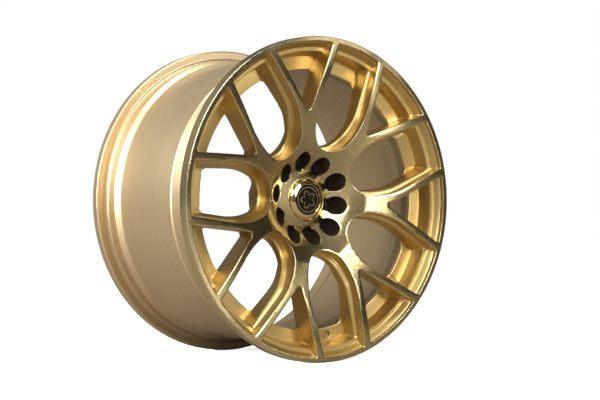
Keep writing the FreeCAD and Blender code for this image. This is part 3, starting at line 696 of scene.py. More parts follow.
    def window_halves(self, draft: Draft, window: Window, levels: Sequence[Level], middle: float,
                      sides: Sequence[int]) -> dict[str, list[Row]]:
        """Builds the walls of a window, or of the half of it that belongs to one spoke.

        Args:
            draft: Draft that takes the walls.
            window: Outline of the window.
            levels: Its loops, front to back.
            middle: Angle of its middle line.
            sides: +1, -1 or both: the halves to build.

        Returns:
            The front and the rear outline as (x, z, depth) rows, each from the rim's middle to the
            tip for one side, or all the way round for both.
        """
        edges: dict[str, list[Row]] = {"front": [], "rear": []}
        for side in sides:
            rows = []
            for level in levels:
                spots = []
                for along, across, depth in window.loop(level):
                    x, z = turned((along, across * side), middle)
                    spots.append((x, depth, z))
                rows.append(spots)
            numbers = [draft.add_points(spots) for spots in rows]
            for level, front, rear in zip(levels[1:], numbers, numbers[1:]):
                draft.bridge(front, rear, level.finish, flip=side < 0)
            for name, spots in (("front", rows[0]), ("rear", rows[-1])):
                outline = [(x, z, depth) for x, depth, z in spots]
                edges[name] += outline if side > 0 else outline[::-1]
        return edges

    def sector_grid(self, inner: float, outer: float, pitch: float) -> np.ndarray:
        """Points on arcs about the axle inside one sector that is centred on angle zero."""
        rows = []
        for radius in np.arange(inner, outer, pitch):
            count = max(5, int(round(radius * SECTOR / pitch)))
            angles = -SECTOR / 2 + SECTOR * (np.arange(count) + 0.5) / count
            rows.append(np.stack([radius * np.cos(angles), radius * np.sin(angles)], axis=1))
        return np.concatenate(rows)

    def sector(self) -> bpy.types.Mesh:
        """One seventh of the face: a spoke with a whole small window and half a large one on each side."""
        draft = Draft()
        half = SECTOR / 2
        large = self.large_levels()
        upper = self.window_halves(draft, self.large, large, half, (-1,))
        lower = self.window_halves(draft, self.large, large, -half, (1,))
        small = self.window_halves(draft, self.small, self.small_levels(), 0.0, (1, -1))
        for name, outer, depth, rearward in (
                ("front", self.lip_edge, self.contour.face, False), ("rear", 226.0, self.contour.back, True)):
            rim = [polar(outer, angle) for angle in np.linspace(-half, half, self.columns + 1)]
            hub = [polar(self.hub_split, angle) for angle in np.linspace(half, -half, self.columns // 2 + 1)]
            boundary = [(x, z, depth(outer)) for x, z in rim]
            boundary += upper[name][::-1]
            boundary += [(x, z, depth(self.hub_split)) for x, z in hub]
            boundary += lower[name][::-1]
            cleaned = self.without_repeats(boundary)
            hole = self.without_repeats(small[name])
            pitch = 4.4 if name == "front" else 7.5
            finish = Finish.MACHINED if name == "front" else Finish.SATIN_BACK
            grid = self.sector_grid(self.hub_split + 1.5, outer, pitch)
            fill(draft, cleaned, [hole], grid, depth, finish, rearward, 1.2)
        return draft.mesh("spoke_sector")

    @staticmethod
    def without_repeats(rows: Sequence[Row]) -> list[Row]:
        """Boundary with points that lie on top of the one before left out."""
        kept: list[Row] = []
        for row in rows:
            if not kept or math.hypot(row[0] - kept[-1][0], row[1] - kept[-1][1]) > 0.01:
                kept.append(row)
        if math.hypot(kept[0][0] - kept[-1][0], kept[0][1] - kept[-1][1]) <= 0.01:
            kept.pop()
        return kept

    def circle(self, centre: Point, radius: float, count: int = 64) -> list[Point]:
        """Points counter-clockwise round a centre."""
        return [(centre[0] + radius * math.cos(2 * math.pi * step / count),
                 centre[1] + radius * math.sin(2 * math.pi * step / count)) for step in range(count)]

    def hub(self, draft: Draft) -> None:
        """Adds the cone round the cap boss with its ten sockets, the boss, the bore and the hub's back."""
        face, back = self.contour.face, self.contour.back
        centres = [polar(pitch, phase + 2 * math.pi * step / 5)
                   for pitch, phase in self.lug_circles for step in range(5)]
        steps = self.columns // 2 * SPOKES
        outer_ring = [polar(self.hub_split, SPOKE_PHASE + SECTOR / 2 + 2 * math.pi * step / steps)
                      for step in range(steps)]
        grid = []
        for radius in np.arange(36.0, self.hub_split, 2.6):
            count = int(round(2 * math.pi * radius / 2.8))
            angles = 2 * math.pi * np.arange(count) / count
            grid.append(np.stack([radius * np.cos(angles), radius * np.sin(angles)], axis=1))
        grid = np.concatenate(grid)
        for depth, inner, hole_radius, rearward, finish in (
                (face, 34.9, self.socket_radius + 0.45, False, Finish.MACHINED),
                (back, 37.4, self.seat_bore + 0.6, True, Finish.SATIN_BACK)):
            holes = [[(x, z, depth(math.hypot(x, z))) for x, z in self.circle(centre, hole_radius)]
                     for centre in centres]
            bore = [(x, z, depth(inner)) for x, z in self.circle((0.0, 0.0), inner, 168)]
            fill(draft, [(x, z, depth(self.hub_split)) for x, z in outer_ring], [bore] + holes, grid,
                 depth, finish, rearward, 0.9)
        for centre in centres:
            rows = []
            for radius, depth in ((self.socket_radius + 0.45, 0.0), (self.socket_radius + 0.15, 0.12),
                                  (self.socket_radius, 0.45)):
                rows.append([(x, face(math.hypot(x, z)) + depth, z) for x, z in self.circle(centre, radius)])
            for radius, depth in ((self.socket_radius, 70.0), (self.socket_radius, self.seat_top - 0.8),
                                  (self.socket_radius - 0.8, self.seat_top), (self.seat_bore, self.seat_top),
                                  (self.seat_bore, 88.6)):
                rows.append([(x, depth, z) for x, z in self.circle(centre, radius)])
            for radius, depth in ((self.seat_bore, 0.6), (self.seat_bore + 0.6, 0.0)):
                rows.append([(x, back(math.hypot(x, z)) - depth, z)
                             for x, z in self.circle(centre, radius)])
            numbers = [draft.add_points(row) for row in rows]
            # The mouth's two chamfer strips take the painted highlight colour.
            marks = (Finish.PAINTED_HIGHLIGHT_EDGE,) * 2 + (Finish.SOCKET_PAINT_AND_SHADE,) * 5 + (Finish.SATIN_BACK,) * 2
            # The five strips down the bore take the near-black socket colour, dark paint plus painted shade
            # of the deep bore.
            for front, rear, mark in zip(numbers, numbers[1:], marks):
                draft.bridge(front, rear, mark, closed=True)
        well = rounded_profile([
            (103.65, 37.4), (102.9, 36.55), (66.0, 36.55, 0.3), (66.0, 28.5, 0.5), (53.0, 28.5, 0.6),
            (53.0, 32.7, 0.4), (49.1, 32.7, 0.3), (48.52, 33.3), (48.5, 34.2), (face(34.9), 34.9)], steps=4)
        revolve(draft, well, 168,
                lambda depth, radius: Finish.MACHINED if depth < 49.3 else Finish.SATIN_BACK, phase=0.0)

    def rim_profile(self) -> list[Point]:
        """Half section of lip, front flange, seat, hump and well, closed inside the wall."""
        return rounded_profile([
            (0.0, self.lip_edge), (0.0, 247.6), (0.35, 248.15), (1.0, 248.3), (18.0, 248.3, 1.5),
            (21.0, 245.3, 1.5), (21.0, 231.0, 6.5), (36.5, 229.8, 3.0), (40.0, 232.0, 3.0),
            (43.5, 229.8, 3.0), (48.5, 207.0, 4.0),
            (56.5, 207.0, 0.4), (60.0, 203.0), (60.0, 201.0), (42.3, 201.0),
            (42.3, 222.5), (20.0, 228.0), (18.5, 230.0), (18.5, 236.0), (9.0, 242.0), (1.0, 245.5)], steps=4)

    def valve_boss(self, draft: Draft) -> None:
        """Adds the land round the valve hole and the hole's chamfered wall."""
        middle = SPOKE_PHASE + math.pi
        centre = polar(self.valve_pitch, middle)
        angles = np.linspace(-self.large.land_half, self.large.land_half, 2 * self.large.land_points - 1)
        outer = [(*polar(VALVE_LAND[1], middle + angle), LAND_DEPTH) for angle in angles]
        outer += [(*polar(VALVE_LAND[0], middle + angle), LAND_DEPTH) for angle in angles[::-1]]
        mouth = [(x, z, LAND_DEPTH) for x, z in self.circle(centre, 6.2, 48)]
        fill(draft, outer, [mouth], np.array([(0.0, 0.0)]), lambda radius: LAND_DEPTH,
             Finish.GOLD_PAINT, False, 1.0)
        rows = ((6.2, LAND_DEPTH), (6.0, LAND_DEPTH + 0.08), (self.valve_radius, LAND_DEPTH + 0.5),
                (self.valve_radius, 43.0))
        numbers = [draft.add_points((x, depth, z) for x, z in self.circle(centre, radius, 48))
                   for radius, depth in rows]
        for front, rear in zip(numbers, numbers[1:]):
            draft.bridge(front, rear, Finish.GOLD_PAINT, closed=True)

    def open_valve_land(self, mesh: bpy.types.Mesh) -> None:
        """Takes out the plain strip of land that the land with the valve hole stands for."""
        shape = bmesh.new()
        shape.from_mesh(mesh)
        middle = Vector(polar(1.0, SPOKE_PHASE + math.pi))
        low, high = (reach * MM for reach in VALVE_LAND)
        plain = []
        for facet in shape.faces:
            spot = facet.calc_center_median()
            flat = Vector((spot.x, spot.z))
            level = abs(spot.y - (LAND_DEPTH - MOUNT_DEPTH) * MM) < 2e-5
            if level and len(facet.verts) == 4 and low < flat.length < high and \
                    flat.normalized().dot(middle) > math.cos(self.large.land_half):
                plain.append(facet)
        LOG.info("valve land: %d plain faces taken out", len(plain))
        bmesh.ops.delete(shape, geom=plain, context="FACES_ONLY")
        shape.to_mesh(mesh)
        shape.free()

    def rest(self) -> bpy.types.Mesh:
        """Hub and valve boss in one mesh."""
        draft = Draft()
        self.hub(draft)
        self.valve_boss(draft)
        return draft.mesh("hub_and_rim")

    @staticmethod
    def ring_finish(depth: float, radius: float) -> Finish:
        """Finish of the ring: a painted highlight colour at the lip's edge, machined on the flange, satin in
        the tyre's space.
        """
        if radius > 247.35 and depth < 1.0:
            return Finish.PAINTED_HIGHLIGHT_EDGE
        return Finish.MACHINED if radius > 244.0 and depth < 19.0 else Finish.SATIN_BACK

    def ring(self) -> bpy.types.Mesh:
        """Closed ring of flange, bead seat and well's front wall, with the valve hole cut through it."""
        solid = Draft()
        revolve(solid, self.rim_profile(), self.columns * SPOKES,
                self.ring_finish, closed=True, phase=SPOKE_PHASE + SECTOR / 2)
        shown = place("rim_ring", solid.mesh("rim_ring"))
        centre = polar(self.valve_pitch, SPOKE_PHASE + math.pi)
        for radius, front, rear in ((self.valve_radius, 24.0, 58.0), (8.0, 44.05, 59.0)):
            tool = Draft()
            rings = [tool.add_points((x, depth, z) for x, z in self.circle(centre, radius, 48))
                     for depth in (front, rear)]
            tool.bridge(rings[0], rings[1], Finish.SATIN_BACK, closed=True, flip=True)
            tool.add_face(rings[0], Finish.SATIN_BACK)
            tool.add_face(rings[1][::-1], Finish.SATIN_BACK)
            cutter = place("valve_cutter", tool.mesh("valve_cutter"))
            bore = shown.modifiers.new("valve_bore", "BOOLEAN")
            bore.operation, bore.object, bore.solver = "DIFFERENCE", cutter, "EXACT"
            bpy.context.view_layer.update()
            mesh = bpy.data.meshes.new_from_object(shown.evaluated_get(bpy.context.evaluated_depsgraph_get()))
            LOG.info("valve bore: %d faces before, %d after", len(shown.data.polygons), len(mesh.polygons))
            shown.modifiers.clear()
            shown.data = mesh
            bpy.data.objects.remove(cutter)
        mesh = shown.data
        bpy.data.objects.remove(shown)
        return mesh

    def build(self, finishes: Sequence[bpy.types.Material]) -> bpy.types.Object:
        """Repeats the spoke sector round the hub and rim with Geometry Nodes and keeps the plain mesh.

        Args:
            finishes: Materials in the order of Finish.

        Returns:
            The finished piece.
        """
        spoke = bpy.data.objects.new("spoke_sector", self.sector())
        hub = bpy.data.objects.new("hub_and_rim", self.rest())
        ring = bpy.data.objects.new("rim_ring", self.ring())
        for part in (spoke, hub, ring):
            bpy.context.collection.objects.link(part)
            dress(part, finishes)
        tree = bpy.data.node_groups.new("spoke_repeat", "GeometryNodeTree")
        tree.interface.new_socket("Geometry", in_out="INPUT", socket_type="NodeSocketGeometry")
        count_in = tree.interface.new_socket("Spokes", in_out="INPUT", socket_type="NodeSocketInt")
        phase_in = tree.interface.new_socket("Phase", in_out="INPUT", socket_type="NodeSocketFloat")
        hub_in = tree.interface.new_socket("Hub", in_out="INPUT", socket_type="NodeSocketObject")
        ring_in = tree.interface.new_socket("Rim ring", in_out="INPUT", socket_type="NodeSocketObject")
        tree.interface.new_socket("Geometry", in_out="OUTPUT", socket_type="NodeSocketGeometry")
        nodes = Nodes(tree)
        group = nodes.add("NodeGroupInput")
        points = nodes.add("GeometryNodePoints")
        nodes.link(group.outputs["Spokes"], points.inputs["Count"])
        step = nodes.value("DIVIDE", -2.0 * math.pi, group.outputs["Spokes"])
        angle = nodes.value("MULTIPLY", nodes.add("GeometryNodeInputIndex").outputs[0], step)
        angle = nodes.value("SUBTRACT", angle, group.outputs["Phase"])
        turn = nodes.add("ShaderNodeCombineXYZ")
        nodes.link(angle, turn.inputs[1])
        copies = nodes.add("GeometryNodeInstanceOnPoints")
        nodes.link(points.outputs[0], copies.inputs["Points"])
        nodes.link(group.outputs["Geometry"], copies.inputs["Instance"])
        nodes.link(turn.outputs[0], copies.inputs["Rotation"])
        join = nodes.add("GeometryNodeJoinGeometry")
        for label in ("Hub", "Rim ring"):
            info = nodes.add("GeometryNodeObjectInfo")
            nodes.link(group.outputs[label], info.inputs["Object"])
            nodes.link(info.outputs["Geometry"], join.inputs[0])
        nodes.link(copies.outputs[0], join.inputs[0])
        realize = nodes.add("GeometryNodeRealizeInstances")
        nodes.link(join.outputs[0], realize.inputs[0])
        weld = nodes.add("GeometryNodeMergeByDistance")
        weld.inputs["Distance"].default_value = 0.00001
        nodes.link(realize.outputs[0], weld.inputs["Geometry"])
        shape = weld.outputs[0]
        mark = nodes.add("GeometryNodeInputNamedAttribute", data_type="INT")
        mark.inputs["Name"].default_value = "finish"
        for number, material in enumerate(finishes):
            same = nodes.add("FunctionNodeCompare", data_type="INT", operation="EQUAL")
            nodes.link(mark.outputs["Attribute"], same.inputs[2])
            same.inputs[3].default_value = number
            paint = nodes.add("GeometryNodeSetMaterial")
            paint.inputs["Material"].default_value = material
            nodes.link(shape, paint.inputs["Geometry"])
            nodes.link(same.outputs[0], paint.inputs["Selection"])
            shape = paint.outputs[0]
        end = nodes.add("NodeGroupOutput")
        nodes.link(shape, end.inputs[0])
        repeat = spoke.modifiers.new("spoke_repeat", "NODES")
        repeat.node_group = tree
        inputs = ((phase_in, SPOKE_PHASE), (count_in, SPOKES), (hub_in, hub), (ring_in, ring))
        for socket, term in inputs:
            repeat[socket.identifier] = term
        bpy.context.view_layer.update()
        shown = spoke.evaluated_get(bpy.context.evaluated_depsgraph_get())
        mesh = bpy.data.meshes.new_from_object(shown)
        mesh.name = "forged_face_look"
        self.open_valve_land(mesh)
        for part in (spoke, hub, ring):
            bpy.data.objects.remove(part)
        return place("forged_face_look", mesh)


# ---------------------------------------------------------------------------------------
# Barrel, weld and centre cap
# ---------------------------------------------------------------------------------------
@dataclass
class SpunBarrel:
    """Spun rear half of the well, barrel, rear bead seat and rear flange."""

    segments: int = 360
    wall: float = 3.8

    def profile(self) -> list[Point]:
        """Closed half section, outer side first."""
        wall = self.wall
        return rounded_profile([
            (60.0, 201.0), (60.0, 203.0), (63.5, 207.0, 0.4), (73.5, 207.0, 5.0), (85.5, 222.0, 6.0),
            (228.0, 226.0, 6.0), (239.0, 232.0, 3.0), (242.5, 229.8, 2.5), (262.3, 231.0, 6.5),
            (262.3, 246.2, 1.6), (264.4, 248.25, 1.4),
            (276.5, 248.25, 0.8), (277.4, 247.3, 0.6), (277.4, 238.5, 6.0), (264.0, 231.0 - wall, 9.0),
            (239.0, 231.0 - wall, 4.0), (228.0, 226.0 - wall, 5.0), (85.5 + wall, 222.0 - wall, 6.0),
            (73.5 + wall, 201.0, 4.0)], steps=6, closed=True)

    @staticmethod
    def turned_side(depth: float, radius: float) -> int:
        """Finish by place: 0 outside, 1 inside, whose darker colour is painted shade."""
        outline = np.interp(depth, (60, 77.3, 89.3, 228.0, 239.0, 264.0, 276.0, 277.3),
                            (202.5, 203.0, 219.6, 223.6, 228.8, 229.0, 238.0, 240.0))
        return 0 if radius > outline else 1

    def build(self, finishes: Sequence[bpy.types.Material]) -> bpy.types.Object:
        """Makes the barrel.

        Args:
            finishes: Outside finish, and inside finish whose darker colour is painted shade.

        Returns:
            The finished piece.
        """
        draft = Draft()
        revolve(draft, split_long(self.profile(), 9.0), self.segments, self.turned_side,
                closed=True, phase=0.0)
        shown = place("spun_barrel_look", draft.mesh("spun_barrel_look", sharp=50.0))
        dress(shown, finishes)
        return shown


@dataclass
class WeldBead:
    """Weld bead in the well, with the ripples of its passes."""

    beads: int = 620
    ripple: float = 0.16

    def build(self, finish: bpy.types.Material) -> bpy.types.Object:
        """Makes the bead."""
        section = [(60.0, 203.0), (56.5, 207.0), (56.7, 207.3), (57.6, 207.85), (58.8, 208.15),
                   (60.0, 208.25), (61.2, 208.15), (62.4, 207.85), (63.3, 207.3), (63.5, 207.0)]
        draft = Draft()
        per_bead = 3
        count = self.beads * per_bead
        rows = []
        for depth, radius in section:
            proud = max(0.0, radius - 207.0)
            row = []
            for step in range(count):
                angle = 2 * math.pi * (step + (0.9 * (depth - 60.0) ** 2 / 4)) / count
                wave = self.ripple * (0.5 + 0.5 * math.cos(2 * math.pi * step / per_bead))
                lifted = radius - proud * wave
                row.append((lifted * math.cos(angle), depth, lifted * math.sin(angle)))
            rows.append(draft.add_points(row))
        for index, front in enumerate(rows):
            draft.bridge(front, rows[(index + 1) % len(rows)], 0, closed=True, flip=True)
        shown = place("well_weld_look", draft.mesh("well_weld_look", sharp=80.0, weld=0.0005))
        dress(shown, [finish])
        return shown


@dataclass
class CentreCap:
    """Push-in cap: polished bezel round a domed emblem disc."""

    segments: int = 180

    def build(self, bezel_finish: bpy.types.Material,
              emblem_finish: bpy.types.Material) -> list[bpy.types.Object]:
        """Makes the bezel and the emblem disc.

        Args:
            bezel_finish: Finish of the bezel.
            emblem_finish: Finish of the disc.

        Returns:
            Both pieces.
        """
        low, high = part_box("cap_bezel")
        front = low.y / MM + MOUNT_DEPTH
        rear = high.y / MM + MOUNT_DEPTH
        outer = high.x / MM
        ring = rounded_profile([
            (front + 0.25, 23.2, 0.2), (front, 23.8, 0.35), (front + 0.35, 25.0, 1.5),
            (front + 1.5, 28.6, 4.0),
            (front + 3.6, 31.2, 3.0), (49.4, outer, 0.5), (rear, outer, 0.2), (rear, outer - 1.6, 0.1),
            (50.4, outer - 1.6, 0.4), (front + 4.0, 28.0, 2.0), (front + 2.1, 24.4, 0.6),
            (front + 2.1, 23.2, 0.1)],
            steps=5, closed=True)
        draft = Draft()
        revolve(draft, ring, self.segments, 0, closed=True, phase=0.0)
        bezel = place("cap_bezel_look", draft.mesh("cap_bezel_look"))
        dress(bezel, [bezel_finish])
        low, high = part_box("cap_emblem")
        front, rear, outer = low.y / MM + MOUNT_DEPTH, high.y / MM + MOUNT_DEPTH, high.x / MM
        dome = [(front + 0.6 * (radius / outer) ** 2, radius) for radius in np.linspace(0, outer - 0.3, 12)]
        disc = dome + [(front + 0.68, outer - 0.08), (front + 0.85, outer), (rear - 0.15, outer),
                       (rear, outer - 0.15), (rear, 0.0)]
        draft = Draft()
        revolve(draft, disc, self.segments, 0, phase=0.0)
        emblem = place("cap_emblem_look", draft.mesh("cap_emblem_look"))
        dress(emblem, [emblem_finish])
        return [bezel, emblem]


def split_long(profile: Sequence[Point], longest: float) -> list[Point]:
    """Closed profile with extra points on its long runs."""
    out: list[Point] = []
    for here, after in zip(profile, list(profile[1:]) + [profile[0]]):
        pieces = max(1, int(math.dist(here, after) // longest))
        for step in range(pieces):
            depth = here[0] + (after[0] - here[0]) * step / pieces
            out.append((depth, here[1] + (after[1] - here[1]) * step / pieces))
    return out


def place(name: str, mesh: bpy.types.Mesh) -> bpy.types.Object:
    """Links a mesh into the scene at the origin."""
    shown = bpy.data.objects.new(name, mesh)
    bpy.context.collection.objects.link(shown)
    return shown


def dress(shown: bpy.types.Object, finishes: Sequence[bpy.types.Material]) -> None:
    """Gives a piece its materials, in slot order."""
    marks = [facet.material_index for facet in shown.data.polygons]
    shown.data.materials.clear()
    for finish in finishes:
        shown.data.materials.append(finish)
    shown.data.polygons.foreach_set("material_index", [min(mark, len(finishes) - 1) for mark in marks])


# ---------------------------------------------------------------------------------------
# Finishes
# ---------------------------------------------------------------------------------------
class Nodes:
    """Short hand for filling a node tree."""

    def __init__(self, tree: bpy.types.NodeTree) -> None:
        self.tree = tree

    def add(self, kind: str, **settings: object) -> bpy.types.Node:
        """Adds a node and sets its options."""
        node = self.tree.nodes.new(kind)
        for key, value in settings.items():
            setattr(node, key, value)
        return node

    def link(self, start: bpy.types.NodeSocket, end: bpy.types.NodeSocket) -> None:
        """Links two sockets."""
        self.tree.links.new(start, end)

    def value(self, operation: str, *terms: object, clamp: bool = False) -> bpy.types.NodeSocket:
        """Adds a math node.

        Args:
            operation: Its operation.
            terms: Sockets or numbers for its inputs.
            clamp: True to clamp the result.

        Returns:
            Its output.
        """
        node = self.add("ShaderNodeMath", operation=operation, use_clamp=clamp)
        for term, socket in zip(terms, node.inputs):
            if isinstance(term, bpy.types.NodeSocket):
                self.link(term, socket)
            else:
                socket.default_value = term
        return node.outputs[0]

    def ramp(self, term: bpy.types.NodeSocket, low: float, high: float) -> bpy.types.NodeSocket:
        """Smooth mask that rises from 0 at low to 1 at high."""
        node = self.add("ShaderNodeMapRange", interpolation_type="SMOOTHSTEP")
        self.link(term, node.inputs["Value"])
        node.inputs["From Min"].default_value = low
        node.inputs["From Max"].default_value = high
        return node.outputs["Result"]

    def blend(self, share: object, first: object, second: object) -> bpy.types.NodeSocket:
        """Mixes two colours."""
        node = self.add("ShaderNodeMix", data_type="RGBA")
        for term, socket in ((share, node.inputs[0]), (first, node.inputs[6]), (second, node.inputs[7])):
            if isinstance(term, bpy.types.NodeSocket):
                self.link(term, socket)
            elif isinstance(term, tuple):
                socket.default_value = (*term, 1.0)
            else:
                socket.default_value = term
        return node.outputs[2]

    def noise(self, scale: float, detail: float, vector: bpy.types.NodeSocket) -> bpy.types.NodeSocket:
        """Noise value at a vector."""
        node = self.add("ShaderNodeTexNoise")
        node.inputs["Scale"].default_value = scale
        node.inputs["Detail"].default_value = detail
        self.link(vector, node.inputs["Vector"])
        return node.outputs["Fac"]


def effect(name: str, outputs: Sequence[str], inputs: Sequence[tuple[str, float]],
           fill_in: Callable[[Nodes, bpy.types.Node, bpy.types.Node], None]) -> bpy.types.NodeTree:
    """Makes a shared shader effect as a node group, once.

    Args:
        name: Its name.
        outputs: Names of its values.
        inputs: Names and defaults of its inputs.
        fill_in: Adds its nodes between the group's input and output.

    Returns:
        The group.
    """
    if name in bpy.data.node_groups:
        return bpy.data.node_groups[name]
    tree = bpy.data.node_groups.new(name, "ShaderNodeTree")
    for label, default in inputs:
        socket = tree.interface.new_socket(label, in_out="INPUT", socket_type="NodeSocketFloat")
        socket.default_value = default
    for label in outputs:
        tree.interface.new_socket(label, in_out="OUTPUT", socket_type="NodeSocketFloat")
    nodes = Nodes(tree)
    fill_in(nodes, nodes.add("NodeGroupInput"), nodes.add("NodeGroupOutput"))
    return tree


def axle_radius(nodes: Nodes) -> tuple[bpy.types.NodeSocket, bpy.types.NodeSocket, bpy.types.NodeSocket]:
    """Object position, distance from the axle and place along it, the last two in millimetres."""
    place_node = nodes.add("ShaderNodeTexCoord").outputs["Object"]
    split = nodes.add("ShaderNodeSeparateXYZ")
    nodes.link(place_node, split.inputs[0])
    squares = nodes.value("ADD", nodes.value("MULTIPLY", split.outputs[0], split.outputs[0]),
                          nodes.value("MULTIPLY", split.outputs[2], split.outputs[2]))
    radius = nodes.value("MULTIPLY", nodes.value("SQRT", squares), 1000.0)
    return place_node, radius, nodes.value("MULTIPLY", split.outputs[1], 1000.0)


def lathe_lines() -> bpy.types.NodeTree:
    """Fine turning lines that run round the axle, with wider bands for the tint."""
    def fill_in(nodes: Nodes, given: bpy.types.Node, out: bpy.types.Node) -> None:
        """Adds the nodes."""
        _, radius, along = axle_radius(nodes)
        run = nodes.value("ADD", radius, nodes.value("MULTIPLY", along, 0.83))
        for pitch, detail, name in ((1.0, 1.0, "Height"), (9.0, 2.0, "Band")):
            line = nodes.add("ShaderNodeTexNoise", noise_dimensions="1D")
            line.inputs["Scale"].default_value = 1.0
            line.inputs["Detail"].default_value = detail
            spaced = nodes.value("MULTIPLY", given.outputs["Pitch mm"], pitch)
            nodes.link(nodes.value("DIVIDE", run, spaced), line.inputs["W"])
            nodes.link(line.outputs["Fac"], out.inputs[name])
    return effect("lathe_lines", ("Height", "Band"), (("Pitch mm", 0.5),), fill_in)


def paint_skin() -> bpy.types.NodeTree:
    """Metallic flakes and the faint orange peel of sprayed paint."""
    def fill_in(nodes: Nodes, given: bpy.types.Node, out: bpy.types.Node) -> None:
        """Adds the nodes."""
        spot = nodes.add("ShaderNodeTexCoord").outputs["Object"]
        cells = nodes.add("ShaderNodeTexVoronoi")
        nodes.link(spot, cells.inputs["Vector"])
        nodes.link(given.outputs["Flakes per m"], cells.inputs["Scale"])
        split = nodes.add("ShaderNodeSeparateColor")
        nodes.link(cells.outputs["Color"], split.inputs[0])
        nodes.link(split.outputs[0], out.inputs["Flake"])
        nodes.link(nodes.noise(520.0, 1.0, spot), out.inputs["Peel"])
    return effect("paint_skin", ("Flake", "Peel"), (("Flakes per m", 2600.0),), fill_in)


def surface_age() -> bpy.types.NodeTree:
    """Worn edges, smudges and settled dust."""
    def fill_in(nodes: Nodes, given: bpy.types.Node, out: bpy.types.Node) -> None:
        """Adds the nodes."""
        spot = nodes.add("ShaderNodeTexCoord").outputs["Object"]
        shape = nodes.add("ShaderNodeNewGeometry")
        edge = nodes.ramp(shape.outputs["Pointiness"], 0.53, 0.62)
        patch = nodes.ramp(nodes.noise(60.0, 4.0, spot), 0.42, 0.62)
        nodes.link(nodes.value("MULTIPLY", edge, patch, clamp=True), out.inputs["Wear"])
        nodes.link(nodes.noise(14.0, 5.0, spot), out.inputs["Smudge"])
        split = nodes.add("ShaderNodeSeparateXYZ")
        nodes.link(shape.outputs["Normal"], split.inputs[0])
        up = nodes.ramp(split.outputs[2], 0.2, 1.0)
        nodes.link(nodes.value("MULTIPLY", up, nodes.noise(190.0, 4.0, spot), clamp=True), out.inputs["Dust"])
    return effect("surface_age", ("Wear", "Smudge", "Dust"), (), fill_in)


